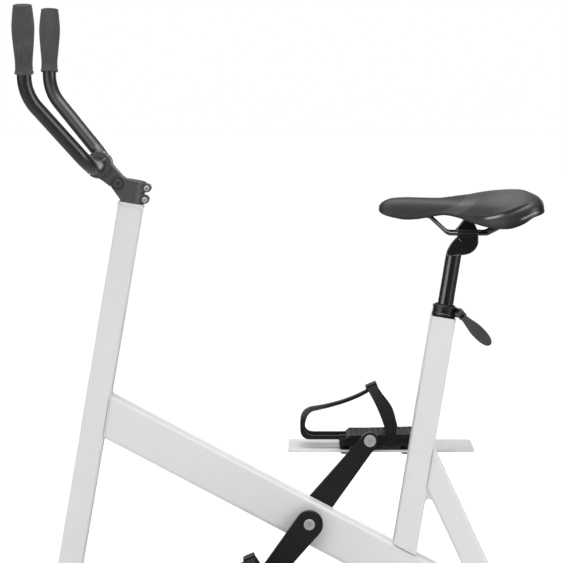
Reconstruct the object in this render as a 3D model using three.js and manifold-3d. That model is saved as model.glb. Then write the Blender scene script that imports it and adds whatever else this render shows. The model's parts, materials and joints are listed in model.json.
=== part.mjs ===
// Aqua bike: an exercise bike that stands on a pool floor, pedalled under water.
// Lengths are in millimetres and angles in degrees. The bike faces -X, its left side is -Y
// and +Z is up. Heights called rise are measured above the crank axis.

import * as THREE from 'three';
import { mergeVertices } from 'three/addons/utils/BufferGeometryUtils.js';
import Module from 'manifold-3d';

const wasm = await Module();
wasm.setup();

// Clearances and facets
const fitGap = 0.3; // between pieces that seat on or in each other
const runningGap = 0.6; // between pieces that turn or slide against each other
const overrun = 4; // how far a cutting shape runs past what it cuts
const roundSides = 16; // facets of a round piece
const smallSides = 10; // facets of a bolt or a thin rod
const arcSegments = 6; // facets of each arc in an outline
const cornerSegments = 3; // facets of a tube's or a sheet's rounded corner
const hexSides = 6;
const boltSocketShare = 0.8; // of the shank's radius

// Frame tubes, seen from the side as lines through the height of the crank axis
const crankHeight = 365;
const postWidth = 42;
const postWall = 2;
const postCorner = 5;
const frontPostLean = 9.9;
const frontPostAhead = 399;
const frontPostRise = 544.5;
const seatTubeLean = 9.1;
const seatTubeBehind = 172;
const seatTubeRise = 354;
const rearLegLean = 24.9;
const rearLegBehind = 252;
const downTubeLean = 117.9; // past level, so that it drops to the rear
const downTubeHeight = 72;
const downTubeCorner = 7;

// Foot tubes, rubber boots and transport wheels
const footWidth = 520;
const bootWall = 3.5;
const bootReach = 62;
const bootCorner = 7;
const footPadHeight = 8;
const footPadInset = 5;
const wheelRadius = 26;
const wheelWidth = 22;
const wheelTyreCrown = 3;
const wheelSpacingShare = 0.635; // of the foot tube's width
const wheelTubeGap = 1.8;
const wheelFloorGap = 9;
const wheelBracketPlate = 4;
const wheelBracketRadius = 13;
const wheelAxleRadius = 4;
const wheelAxleHeadRadius = 7;
const wheelAxleHeadHeight = 4;

// Bottom bracket and cranks
const shellRadius = 20;
const shellLength = 48;
const shellBoreRadius = 16.5;
const bearingWidth = 10;
const spindleRadius = 8.5;
const spindleBoltRadius = 3.6;
const spindleBoltDepth = 16;
const crankLength = 170.5;
const crankTurn = 38.1;
const crankThickness = 12;
const crankHubRadius = 23.5;
const crankEyeRadius = 14.5;
const crankInset = 3; // from the shell's end face to the arm's inner face
const crankBoltRadius = 9.5;
const crankBoltHead = 4.5;
const crankBoltSink = 3;
const crankBoltHexRadius = 4.6;

// Pedals, in a frame on the pedal axle with +X to the heel
const pedalFront = 52.5;
const pedalRear = 86;
const pedalWidth = 88;
const pedalBelowAxle = 12.2;
const pedalAboveAxle = 6.4;
const pedalHeelRise = 2.5;
const pedalCorner = 8;
const pedalFromCrank = 6;
const pedalRim = 9;
const pedalHubHalf = 11;
const pedalSkin = 3.5;
const pedalAxleRadius = 3.8;
const pedalThreadRadius = 7.2;
const pedalFlangeRadius = 10.5;
const pedalFlangeHeight = 2.6;
const pedalFlangeHexRadius = 4.2;
const pedalAxleEndCover = 6;
const plateStandoff = 7;
const plateStandoffRadius = 8;
const plateThickness = 4;
const plateFront = 142;
const plateRear = 183;
const plateWidth = 118;
const plateInset = 1; // from the pedal's inner face to the plate's inner edge, outwards
const plateCorner = 6;
const plateBoltFront = 44;
const plateBoltRear = 62;
const plateBoltInset = 15; // from the pedal's inner face
const plateBoltRadius = 3;
const plateBoltHeadRadius = 6.5;
const plateBoltHeadHeight = 4;
const plateBoltGrip = 9; // of the bolt inside the pedal

// Toe clips and straps
const clipBand = 6.5;
const clipLegSpacing = 41;
const clipLegWidth = 10;
const clipBarWidth = 16;
const clipReach = 121; // pedal axle to the front of the clip
const clipRise = 92; // pedal axle to the top of the clip
const clipLegTop = 2.8; // height of the leg's upper face over the pedal axle
const clipLoopWidth = 30;
const clipLoopLength = 20;
const clipLoopWall = 3;
const clipTab = 12; // length of the leg inside the pedal's front rim
const clipBendShare = 0.25; // of the clip's reach ahead of the pedal
const clipBendRiseShare = 0.8;
const clipBendRunShare = 1.5;
const clipNoseShare = 0.53; // heights along the top bar, as shares of the clip's rise
const clipShoulderShare = 0.55;
const clipMiddleShare = 0.66;
const clipCrestShare = 0.91;
const clipArchShare = 0.3; // of the reach, where the top bar bows
const clipBarShare = 0.85; // of the band's thickness in the top bar
const clipForkShare = 0.3; // of the rise, where the two legs lean together
const clipCrownShare = 0.62; // and where they have met
const strapWidth = 16;
const strapThickness = 2.2;
const strapHeelSet = 38; // pedal axle to the middle of the strap at the pedal
const strapTopSet = 4; // pedal axle to the middle of the strap at the clip's loop
const strapSink = 7;
const strapBow = 4; // of the upright parts, towards the heel
const strapBowShare = 0.4; // of the rise, where they bow most
const strapUprightShare = 0.3; // of the strap's rise that stays upright

// Seat tube fittings
const seatPostRadius = 13.6;
const seatPostWall = 2.2;
const sleeveDepth = 90;
const collarRise = 22;
const collarRadius = 17;
const collarSlot = 3;
const ringWall = 3.4;
const ringHeight = 18.5;
const ringSeat = 1.5;
const earLength = 16;
const earHalfWidth = 10;
const earHeight = 15;
const skewerRadius = 2.6;
const skewerNutRadius = 6;
const skewerNutHeight = 6;
const skewerEyeRadius = 5.5;
const skewerEyeWidth = 5;
const camRadius = 8;
const camWidth = 14;
const camPinRadius = 2.6;
const leverLength = 70;
const leverWidth = 19;
const leverThickness = 5;
const leverDrop = 45.5; // below the horizontal
const leverCup = 3;
const leverRootShare = 0.38; // half width at the root, of the width
const leverTipShare = 0.75; // of the length, where the back of the paddle thins out

// Seat post head, clamp and rails, in a level frame on the saddle's tilt axis
const tiltBehind = 268;
const tiltRise = 498;
const postDepth = 200; // of the seat post below the seat tube's top
const headRear = 19;
const headFront = 26;
const headTop = 4;
const headBottom = 31.5;
const headLip = 3;
const headWidth = 30;
const cradleRadius = 17;
const cradleWidth = 54;
const cradleNeck = 29;
const cradleWing = 7;
const clampLength = 34;
const clampRise = 21;
const clampShoulder = 6.5;
const clampSpine = 22;
const spineRearShare = 0.6; // of the clamp's half length, at the top
const spineFrontShare = 0.35;
const clampBoltRadius = 3;
const clampBoltHeadRadius = 5.5;
const clampBoltHeadHeight = 5;
const clampBoltReach = 27;
const tiltSwing = 12;
const railRadius = 3.5;
const railSpacing = 44;
const railFlat = 66; // length of the level stretch, corner to corner
const railRearReach = 80;
const railRearRise = 26;
const railRearSpacing = 68;
const railNoseReach = 90;
const railNoseRise = 29;
const railNoseSpacing = 13;
const railNoseShoulder = 64;
const railBendRadius = 14;
const railNoseBendRadius = 6;

// Saddle, in the same level frame
const saddleLength = 278;
const saddleNose = 150; // tilt axis to the nose
const saddleHeight = 72; // top of the saddle over the rails' level stretch
const saddleHalfWidth = 76;
const saddleRimWall = 6;
const saddleShellThickness = 4;
const saddleHollowShare = 0.45;
const saddleWallShare = 0.33; // the most of the half width that one side wall takes
const socketDepth = 9;
const socketWall = 4;
// Each station: place from the nose, top, rim and half width, as shares of the sizes above
const saddleStationShares = [
  [0.0, 0.628, 0.512, 0.05],
  [0.012, 0.698, 0.467, 0.13],
  [0.036, 0.763, 0.422, 0.2],
  [0.079, 0.818, 0.377, 0.243],
  [0.162, 0.84, 0.324, 0.265],
  [0.252, 0.833, 0.35, 0.277],
  [0.342, 0.826, 0.412, 0.305],
  [0.403, 0.828, 0.434, 0.342],
  [0.475, 0.837, 0.382, 0.41],
  [0.547, 0.868, 0.29, 0.526],
  [0.619, 0.918, 0.207, 0.697],
  [0.701, 0.963, 0.157, 0.868],
  [0.784, 0.984, 0.167, 0.974],
  [0.863, 0.981, 0.277, 1.0],
  [0.921, 0.939, 0.447, 0.947],
  [0.964, 0.849, 0.542, 0.79],
  [0.989, 0.745, 0.597, 0.553],
  [1.0, 0.668, 0.627, 0.263],
];

// Stem, in the leaning frame of the front post's top
const headPlateThickness = 4;
const steererRadius = 14.3;
const steererWall = 2;
const steererHeight = 36;
const stemWall = 5.4;
const stemHeight = 36.5;
const stemBossRadius = 7;
const stemBossWidth = 30;
const stemBossBehind = 22;
const stemBoltShares = [0.26, 0.8]; // of the stem's height
const stemSlot = 2.5;
const stemBoltRadius = 2.6;
const stemBoltHeadRadius = 4.6;
const stemBoltHeadHeight = 4;
const stemCapHeight = 2.5;
const stemCapPlug = 7;
const pivotAhead = 27.3;
const pivotAboveSeat = 29.7; // over the stem's lower face
const pivotRadius = 13;
const earFootShare = 0.8; // of the stem's outer radius, where the ears meet its foot
const pivotHubRadius = 9;
const pivotTongue = 20;
const stemWidth = 42;
const pivotBoltRadius = 4;
const pivotBoltHeadRadius = 7;
const pivotBoltHeadHeight = 4;
const armLength = 45.4;
const armRise = 33;
const armFall = 35; // from its place to its lowest
const armThickness = 25;
const armNeckHeight = 12;
const armEndShare = 0.85; // of the bar clamp's radius
const barRadius = 12;
const barClampRadius = 22.5;
const barClampWidth = 46;
const faceGap = 3;
const faceBoltRadius = 2.6;
const faceBoltHeadRadius = 4.6;
const faceBoltHeadHeight = 4;
const faceBoltSpacing = 36;
const faceBoltDepth = 12;
const faceHeadSeat = 5;

// Handlebar and grips, in a level frame on the middle of the bar clamp
const barWall = 2;
const barFlatWidth = 280; // corner to corner
const barHornReach = 103.5;
const barHornRise = 122;
const barHornSpacing = 376; // at the upper corner
const barTopSpacing = 412;
const barTopRise = 262;
const barUpright = barTopRise - barHornRise;
const barLowerBendRadius = 45;
const barUpperBendShare = 4 / 7; // radius, of the upright
const barUpperBendRadius = barUpright * barUpperBendShare;
const barSides = 12;
const gripLengthShare = 0.8; // of the bar's upright
const gripLength = barUpright * gripLengthShare;
const gripCap = 4.5;
const gripEndRadius = 15.4;
const gripPalmRadius = 18.6;
const gripWaistRadius = 14.3;
const gripStationShares = [0.17, 0.38, 0.66, 0.86]; // of its length, from the low end
const gripCapShare = 0.86; // of the end's radius, at the cap

const degrees = Math.PI / 180;

// Colours and finishes, one for each look
const looks = {
  powderWhite: { color: 0xd8dad9, roughness: 0.45, metalness: 0.0 },
  blackAlloy: { color: 0x2a2b2e, roughness: 0.4, metalness: 0.6 },
  crankBlack: { color: 0x27282a, roughness: 0.55, metalness: 0.4 },
  glossBlack: { color: 0x17171b, roughness: 0.25, metalness: 0.3 },
  steel: { color: 0xa8abb0, roughness: 0.3, metalness: 0.9 },
  blackPlastic: { color: 0x1a1b1e, roughness: 0.6, metalness: 0.0 },
  leverGrey: { color: 0x515256, roughness: 0.5, metalness: 0.0 },
  gripRubber: { color: 0x4a494d, roughness: 0.85, metalness: 0.0 },
  bootRubber: { color: 0x2b2b2d, roughness: 0.9, metalness: 0.0 },
  webbing: { color: 0x15161a, roughness: 0.8, metalness: 0.0 },
  saddleSkin: { color: 0x4b4c50, roughness: 0.6, metalness: 0.0 },
  plateGrey: { color: 0xc8cbcb, roughness: 0.4, metalness: 0.0 },
};

// Booleans

function toSolid(geometry) {
  const bare = geometry.clone();
  bare.deleteAttribute('normal');
  bare.deleteAttribute('uv');
  const merged = mergeVertices(bare);
  const vertProperties = new Float32Array(merged.attributes.position.array);
  const triVerts = new Uint32Array(merged.index.array);
  return new wasm.Manifold(new wasm.Mesh({ numProp: 3, vertProperties, triVerts }));
}

function toGeometry(solid) {
  const mesh = solid.getMesh();
  const geometry = new THREE.BufferGeometry();
  geometry.setAttribute('position', new THREE.BufferAttribute(mesh.vertProperties, 3));
  geometry.setIndex(new THREE.BufferAttribute(mesh.triVerts, 1));
  geometry.computeVertexNormals();
  return geometry;
}

function join(first, ...others) {
  const total = others.reduce((solid, other) => solid.add(toSolid(other)), toSolid(first));
  return toGeometry(total);
}

function cut(body, ...tools) {
  const rest = tools.reduce((solid, tool) => solid.subtract(toSolid(tool)), toSolid(body));
  return toGeometry(rest);
}

function common(first, second) {
  return toGeometry(toSolid(first).intersect(toSolid(second)));
}

// Basic shapes

// Radius of a faceted hole whose flats clear a shaft of the given radius
function holeRadius(radius, gap, sides) {
  return (radius + gap) / Math.cos(Math.PI / sides);
}

// Extrusion along Y of an outline drawn in X and Z, centred on its width
function slab(shape, width, segments = arcSegments) {
  return prism(shape, width, segments).rotateX(Math.PI / 2).translate(0, width / 2, 0);
}

// Extrusion along Z of an outline drawn in X and Y, from z = 0 up
function prism(shape, height, segments = arcSegments) {
  return new THREE.ExtrudeGeometry(shape, {
    depth: height,
    bevelEnabled: false,
    curveSegments: segments,
  });
}

// Extrusion along X of an outline drawn in Y and Z
function alongX(shape, x0, x1) {
  return prism(shape, x1 - x0).rotateX(Math.PI / 2).rotateZ(Math.PI / 2).translate(x0, 0, 0);
}

function block(x0, x1, y0, y1, z0, z1) {
  const box = new THREE.BoxGeometry(x1 - x0, y1 - y0, z1 - z0);
  return box.translate((x0 + x1) / 2, (y0 + y1) / 2, (z0 + z1) / 2);
}

// Solid of revolution about Y; the profile runs from low y to high y as [radius, y]
function turned(profile, sides = roundSides) {
  const points = profile.map(([radius, y]) => new THREE.Vector2(radius, y));
  return new THREE.LatheGeometry(points, sides);
}

function rodY(radius, y0, y1, sides = roundSides) {
  return turned([[0, y0], [radius, y0], [radius, y1], [0, y1]], sides);
}

function ringY(outer, inner, y0, y1, sides = roundSides) {
  return turned([[inner, y0], [outer, y0], [outer, y1], [inner, y1], [inner, y0]], sides);
}

function rodZ(radius, z0, z1, sides = roundSides) {
  return rodY(radius, z0, z1, sides).rotateX(Math.PI / 2);
}

function rodX(radius, x0, x1, sides = roundSides) {
  return rodY(radius, -x1, -x0, sides).rotateZ(Math.PI / 2);
}

function roundedRectangle(width, height, corner) {
  const x = width / 2 - corner;
  const y = height / 2 - corner;
  const quarter = Math.PI / 2;
  const shape = new THREE.Shape();
  shape.absarc(x, y, corner, 0, quarter);
  shape.absarc(-x, y, corner, quarter, 2 * quarter);
  shape.absarc(-x, -y, corner, 2 * quarter, 3 * quarter);
  shape.absarc(x, -y, corner, 3 * quarter, 4 * quarter);
  shape.closePath();
  return shape;
}

function rectangularTube(width, height, wall, corner) {
  const shape = roundedRectangle(width, height, corner);
  shape.holes.push(roundedRectangle(width - 2 * wall, height - 2 * wall, corner - wall));
  return shape;
}

function polygon(points) {
  return new THREE.Shape(points.map(([x, y]) => new THREE.Vector2(x, y)));
}

// Outline of a plate that runs between two discs, from (0, 0) to (0, length)
function linkShape(firstRadius, secondRadius, length) {
  const tangent = Math.asin((firstRadius - secondRadius) / length);
  const shape = new THREE.Shape();
  shape.absarc(0, length, secondRadius, tangent, Math.PI - tangent);
  shape.absarc(0, 0, firstRadius, Math.PI - tangent, 2 * Math.PI + tangent);
  shape.closePath();
  return shape;
}

// A route of straight runs joined by round bends, one radius for each inner corner
function bentRoute(corners, radii) {
  const route = new THREE.CurvePath();
  let start = corners[0];
  for (let i = 1; i < corners.length - 1; i += 1) {
    const into = corners[i].clone().sub(corners[i - 1]).normalize();
    const out = corners[i + 1].clone().sub(corners[i]).normalize();
    const turn = into.angleTo(out);
    const setback = radii[i - 1] * Math.tan(turn / 2);
    const handle = (4 / 3) * Math.tan(turn / 4) * radii[i - 1];
    const bendStart = corners[i].clone().addScaledVector(into, -setback);
    const bendEnd = corners[i].clone().addScaledVector(out, setback);
    route.add(new THREE.LineCurve3(start, bendStart));
    route.add(new THREE.CubicBezierCurve3(
      bendStart,
      bendStart.clone().addScaledVector(into, handle),
      bendEnd.clone().addScaledVector(out, -handle),
      bendEnd,
    ));
    start = bendEnd;
  }
  route.add(new THREE.LineCurve3(start, corners[corners.length - 1]));
  return route;
}

function disc(radius, sides) {
  const points = Array.from({ length: sides }, (_, i) => {
    const angle = (2 * Math.PI * i) / sides;
    return [radius * Math.cos(angle), radius * Math.sin(angle)];
  });
  return polygon(points);
}

function sweep(shape, route, steps) {
  return new THREE.ExtrudeGeometry(shape, { steps, extrudePath: route, bevelEnabled: false });
}

// Closed solid through rings of points, each a list of Vector3 with the same count; every
// four-sided patch is split along its shorter diagonal
function loft(rings) {
  const count = rings[0].length;
  const points = rings.flat();
  const positions = points.flatMap((point) => [point.x, point.y, point.z]);
  const faces = [];
  for (let i = 0; i < rings.length - 1; i += 1) {
    for (let j = 0; j < count; j += 1) {
      const a = i * count + j;
      const b = i * count + ((j + 1) % count);
      const c = b + count;
      const d = a + count;
      if (points[a].distanceTo(points[c]) < points[b].distanceTo(points[d])) {
        faces.push(a, b, c, a, c, d);
      } else {
        faces.push(a, b, d, b, c, d);
      }
    }
  }
  const last = (rings.length - 1) * count;
  const flat = (ring) => ring.map((point) => new THREE.Vector2(point.y, point.z));
  for (const [a, b, c] of THREE.ShapeUtils.triangulateShape(flat(rings[0]), [])) {
    faces.push(a, c, b);
  }
  for (const [a, b, c] of THREE.ShapeUtils.triangulateShape(flat(rings[rings.length - 1]), [])) {
    faces.push(last + a, last + b, last + c);
  }
  const geometry = new THREE.BufferGeometry();
  geometry.setAttribute('position', new THREE.Float32BufferAttribute(positions, 3));
  geometry.setIndex(faces);
  geometry.computeVertexNormals();
  return geometry;
}

// Lines in the side view

// A line that leans back from the vertical by the given angle as it rises
function sideLine(x, z, lean) {
  const angle = lean * degrees;
  return {
    point: new THREE.Vector2(x, z),
    up: new THREE.Vector2(Math.sin(angle), Math.cos(angle)),
    across: new THREE.Vector2(Math.cos(angle), -Math.sin(angle)),
  };
}

function atHeight(line, z) {
  const distance = (z - line.point.y) / line.up.y;
  return line.point.clone().addScaledVector(line.up, distance);
}

// The same line moved sideways, such as from a tube's middle to its face
function beside(line, distance) {
  return { ...line, point: line.point.clone().addScaledVector(line.across, distance) };
}

function meeting(first, second) {
  const gap = second.point.clone().sub(first.point);
  const distance = gap.dot(second.across) / first.up.dot(second.across);
  return first.point.clone().addScaledVector(first.up, distance);
}

// Tube from one side view point to another; its ends lie in planes with the given normals
function mitredTube(shape, start, end, startNormal, endNormal) {
  const run = end.clone().sub(start);
  const length = run.length();
  const way = run.clone().normalize();
  const across = new THREE.Vector2(way.y, -way.x);
  const geometry = prism(shape, length, cornerSegments);
  const position = geometry.attributes.position;
  const slope = (normal) => -across.dot(normal) / way.dot(normal);
  for (let i = 0; i < position.count; i += 1) {
    const atEnd = position.getZ(i) > length / 2;
    const shift = position.getX(i) * slope(atEnd ? endNormal : startNormal);
    position.setZ(i, position.getZ(i) + shift);
  }
  const basis = new THREE.Matrix4().makeBasis(
    new THREE.Vector3(across.x, 0, across.y),
    new THREE.Vector3(0, 1, 0),
    new THREE.Vector3(way.x, 0, way.y),
  );
  basis.setPosition(start.x, 0, start.y);
  return geometry.applyMatrix4(basis);
}

// The scene graph

const bike = new THREE.Group();

function addPiece(parent, name, geometry, look) {
  const material = new THREE.MeshStandardMaterial(looks[look]);
  const mesh = new THREE.Mesh(geometry, material);
  mesh.name = name;
  parent.add(mesh);
  return mesh;
}

function addGroup(parent, x, y, z, lean = 0) {
  const group = new THREE.Group();
  group.position.set(x, y, z);
  group.rotation.y = lean * degrees;
  parent.add(group);
  return group;
}

// Bolt along Y with its head outwards at +Y; y = 0 is under the head
function boltY(radius, length, headRadius, headHeight, hexRadius = radius * boltSocketShare) {
  const head = rodY(headRadius, 0, headHeight, smallSides);
  const shank = rodY(radius, -length, fitGap, smallSides);
  const socket = rodY(hexRadius, headHeight / 2, headHeight + overrun, hexSides);
  return cut(join(head, shank), socket);
}

// Frame lines
const footTubeMiddle = footPadHeight + bootWall + fitGap + postWidth / 2;
const footTubeTop = footTubeMiddle + postWidth / 2;
const frontPostLine = sideLine(-frontPostAhead, crankHeight, frontPostLean);
const seatTubeLine = sideLine(seatTubeBehind, crankHeight, seatTubeLean);
const rearLegLine = sideLine(rearLegBehind, crankHeight, -rearLegLean);
const downTubeLine = sideLine(0, crankHeight, downTubeLean);
const level = new THREE.Vector2(0, 1);

const postTop = atHeight(frontPostLine, crankHeight + frontPostRise);
const seatTubeTop = atHeight(seatTubeLine, crankHeight + seatTubeRise);
const frontFoot = atHeight(frontPostLine, footTubeTop);
const rearFoot = atHeight(rearLegLine, footTubeTop);

function addFrameTubes() {
  const squareTube = rectangularTube(postWidth, postWidth, postWall, postCorner);
  const tallTube = rectangularTube(downTubeHeight, postWidth, postWall, downTubeCorner);

  const postFoot = atHeight(frontPostLine, footTubeTop + fitGap);
  const frontPost = mitredTube(squareTube, postFoot, postTop, level, frontPostLine.up);
  addPiece(bike, 'front_post', frontPost, 'powderWhite');

  const postRearFace = beside(frontPostLine, postWidth / 2 + fitGap);
  const legFrontFace = beside(rearLegLine, -postWidth / 2 - fitGap);
  const downTube = mitredTube(
    tallTube,
    meeting(downTubeLine, postRearFace),
    meeting(downTubeLine, legFrontFace),
    postRearFace.across,
    legFrontFace.across,
  );
  const shellHole = rodY(shellRadius + fitGap, -postWidth, postWidth)
    .translate(0, 0, crankHeight);
  addPiece(bike, 'down_tube', cut(downTube, shellHole), 'powderWhite');

  const downTubeTop = beside(downTubeLine, -downTubeHeight / 2 - fitGap);
  const seatTube = mitredTube(
    squareTube,
    meeting(seatTubeLine, downTubeTop),
    seatTubeTop,
    downTubeTop.across,
    seatTubeLine.up,
  );
  addPiece(bike, 'seat_tube', seatTube, 'powderWhite');

  const seatTubeRearFace = beside(seatTubeLine, postWidth / 2 + fitGap);
  const legFoot = atHeight(rearLegLine, footTubeTop + fitGap);
  const rearLeg = mitredTube(
    squareTube,
    legFoot,
    meeting(rearLegLine, seatTubeRearFace),
    level,
    seatTubeRearFace.across,
  );
  addPiece(bike, 'rear_leg', rearLeg, 'powderWhite');
}

// Transverse tube that stands under a post, made around its own middle
function footTube() {
  const shape = rectangularTube(postWidth, postWidth, postWall, postCorner);
  return slab(shape, footWidth, cornerSegments);
}

const wheelSpacing = footWidth * wheelSpacingShare;
const wheelAhead = postWidth / 2 + wheelRadius + wheelTubeGap;
const wheelDrop = footTubeMiddle - wheelFloorGap - wheelRadius;
const bracketOffset = wheelWidth / 2 + runningGap + wheelBracketPlate / 2;

// Side plate of a wheel fork, from the foot tube's front face to the axle
function wheelBracket(y) {
  const eye = slab(disc(wheelBracketRadius, roundSides), wheelBracketPlate);
  const axleHole = rodY(
    holeRadius(wheelAxleRadius, fitGap, smallSides),
    -wheelBracketPlate,
    wheelBracketPlate,
    smallSides,
  );
  const web = slab(
    polygon([
      [0, wheelBracketRadius],
      [0, -wheelBracketRadius],
      [wheelAhead - postWidth / 2 + postWall / 2, wheelDrop - postWidth / 2 + postCorner],
      [wheelAhead - postWidth / 2 + postWall / 2, wheelDrop + postWidth / 2 - postCorner],
    ]),
    wheelBracketPlate,
  );
  return cut(join(eye, web), axleHole).translate(-wheelAhead, y, -wheelDrop);
}

function addFeet() {
  const front = addGroup(bike, frontFoot.x, 0, footTubeMiddle);
  const rear = addGroup(bike, rearFoot.x, 0, footTubeMiddle);
  const brackets = [-1, 1].flatMap((side) => [
    wheelBracket((side * wheelSpacing) / 2 - bracketOffset),
    wheelBracket((side * wheelSpacing) / 2 + bracketOffset),
  ]);
  addPiece(front, 'front_foot_tube', join(footTube(), ...brackets), 'powderWhite');
  addPiece(rear, 'rear_foot_tube', footTube(), 'powderWhite');
  for (const [group, place] of [[front, 'front'], [rear, 'rear']]) {
    addPiece(group, `foot_boot_${place}_left`, footBoot(-1), 'bootRubber');
    addPiece(group, `foot_boot_${place}_right`, footBoot(1), 'bootRubber');
  }
  for (const [side, label] of [[-1, 'left'], [1, 'right']]) {
    const hub = addGroup(front, -wheelAhead, (side * wheelSpacing) / 2, -wheelDrop);
    addPiece(hub, `wheel_${label}`, transportWheel(), 'bootRubber');
    addPiece(hub, `wheel_axle_${label}`, wheelAxle(side), 'steel');
  }
}

// Rubber cap over the end of a foot tube, with the pad that stands on the floor
function footBoot(side) {
  const outer = postWidth + 2 * (bootWall + fitGap);
  const inner = postWidth + 2 * fitGap;
  const length = bootReach + bootWall;
  const cap = slab(roundedRectangle(outer, outer, bootCorner), length, cornerSegments);
  const pad = block(
    -outer / 2 + footPadInset,
    outer / 2 - footPadInset,
    -length / 2,
    length / 2,
    -outer / 2 - footPadHeight,
    -outer / 2 + bootWall / 2,
  );
  const hollow = slab(roundedRectangle(inner, inner, postCorner), length, cornerSegments)
    .translate(0, -side * (bootWall + fitGap), 0);
  const shift = side * (footWidth / 2 + bootWall + fitGap - length / 2);
  return cut(join(cap, pad), hollow).translate(0, shift, 0);
}

function transportWheel() {
  const bore = holeRadius(wheelAxleRadius, runningGap, roundSides);
  const half = wheelWidth / 2;
  return turned([
    [bore, -half],
    [wheelRadius - wheelTyreCrown, -half],
    [wheelRadius, -half + wheelTyreCrown],
    [wheelRadius, half - wheelTyreCrown],
    [wheelRadius - wheelTyreCrown, half],
    [bore, half],
    [bore, -half],
  ]);
}

function wheelAxle(side) {
  const headSeat = bracketOffset + wheelBracketPlate / 2 + fitGap;
  const bolt = boltY(
    wheelAxleRadius,
    2 * headSeat + wheelBracketPlate,
    wheelAxleHeadRadius,
    wheelAxleHeadHeight,
  );
  return bolt.translate(0, headSeat, 0).rotateZ(side < 0 ? Math.PI : 0);
}

// Bottom bracket and cranks
const crankInnerFace = shellLength / 2 + crankInset;
const crankOuterFace = crankInnerFace + crankThickness;
const spindleEnd = crankOuterFace - crankBoltSink;

function addBottomBracket() {
  const bracket = addGroup(bike, 0, 0, crankHeight);
  const half = shellLength / 2;
  const shell = ringY(shellRadius, shellBoreRadius, -half, half);
  addPiece(bracket, 'bottom_bracket_shell', shell, 'powderWhite');
  const bearing = ringY(
    shellBoreRadius * Math.cos(Math.PI / roundSides) - fitGap,
    holeRadius(spindleRadius, fitGap, roundSides),
    half - bearingWidth,
    half,
  );
  addPiece(bracket, 'bearing_right', bearing, 'steel');
  addPiece(bracket, 'bearing_left', bearing.clone().rotateZ(Math.PI), 'steel');
}

function crankSpindle() {
  const depth = spindleEnd - spindleBoltDepth;
  return turned([
    [0, -depth],
    [spindleBoltRadius, -depth],
    [spindleBoltRadius, -spindleEnd],
    [spindleRadius, -spindleEnd],
    [spindleRadius, spindleEnd],
    [spindleBoltRadius, spindleEnd],
    [spindleBoltRadius, depth],
    [0, depth],
  ]);
}

// Arm with its hub at the origin, its eye at +Z and its outer face towards +Y
function crankArm() {
  const arm = slab(linkShape(crankHubRadius, crankEyeRadius, crankLength), crankThickness)
    .translate(0, crankInnerFace + crankThickness / 2, 0);
  const spindleHole = rodY(
    holeRadius(spindleRadius, fitGap, roundSides),
    crankInnerFace - overrun,
    crankOuterFace + overrun,
  );
  const boltSink = rodY(
    holeRadius(crankBoltRadius, fitGap, roundSides),
    spindleEnd,
    crankOuterFace + overrun,
  );
  const axleHole = rodY(
    holeRadius(pedalThreadRadius, fitGap, roundSides),
    crankInnerFace - overrun,
    crankOuterFace + overrun,
  ).translate(0, 0, crankLength);
  return cut(arm, spindleHole, boltSink, axleHole);
}

function crankBolt() {
  return boltY(
    spindleBoltRadius * Math.cos(Math.PI / roundSides) - fitGap,
    spindleBoltDepth - fitGap,
    crankBoltRadius,
    crankBoltHead,
    crankBoltHexRadius,
  ).translate(0, spindleEnd + fitGap, 0);
}

function addCranks() {
  const cranks = addGroup(bike, 0, 0, crankHeight, crankTurn);
  addPiece(cranks, 'crank_spindle', crankSpindle(), 'steel');
  addPiece(cranks, 'crank_right', crankArm(), 'crankBlack');
  addPiece(cranks, 'crank_bolt_right', crankBolt(), 'steel');
  const leftHalf = new THREE.Group();
  leftHalf.rotation.x = Math.PI;
  cranks.add(leftHalf);
  addPiece(leftHalf, 'crank_left', crankArm(), 'crankBlack');
  addPiece(leftHalf, 'crank_bolt_left', crankBolt(), 'steel');
}

// Pedals
const pedalInnerFace = crankOuterFace + pedalFromCrank;
const pedalMiddle = pedalInnerFace + pedalWidth / 2;

// Height of the pedal's upper face at a place along it
function pedalTop(x) {
  const share = Math.max(x, 0) / pedalRear;
  return pedalAboveAxle + pedalHeelRise * share;
}

// Where the plate's bolts lie across the pedal, by its inner face
function plateBoltLine(side) {
  return side * (plateBoltInset - pedalWidth / 2);
}

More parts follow.
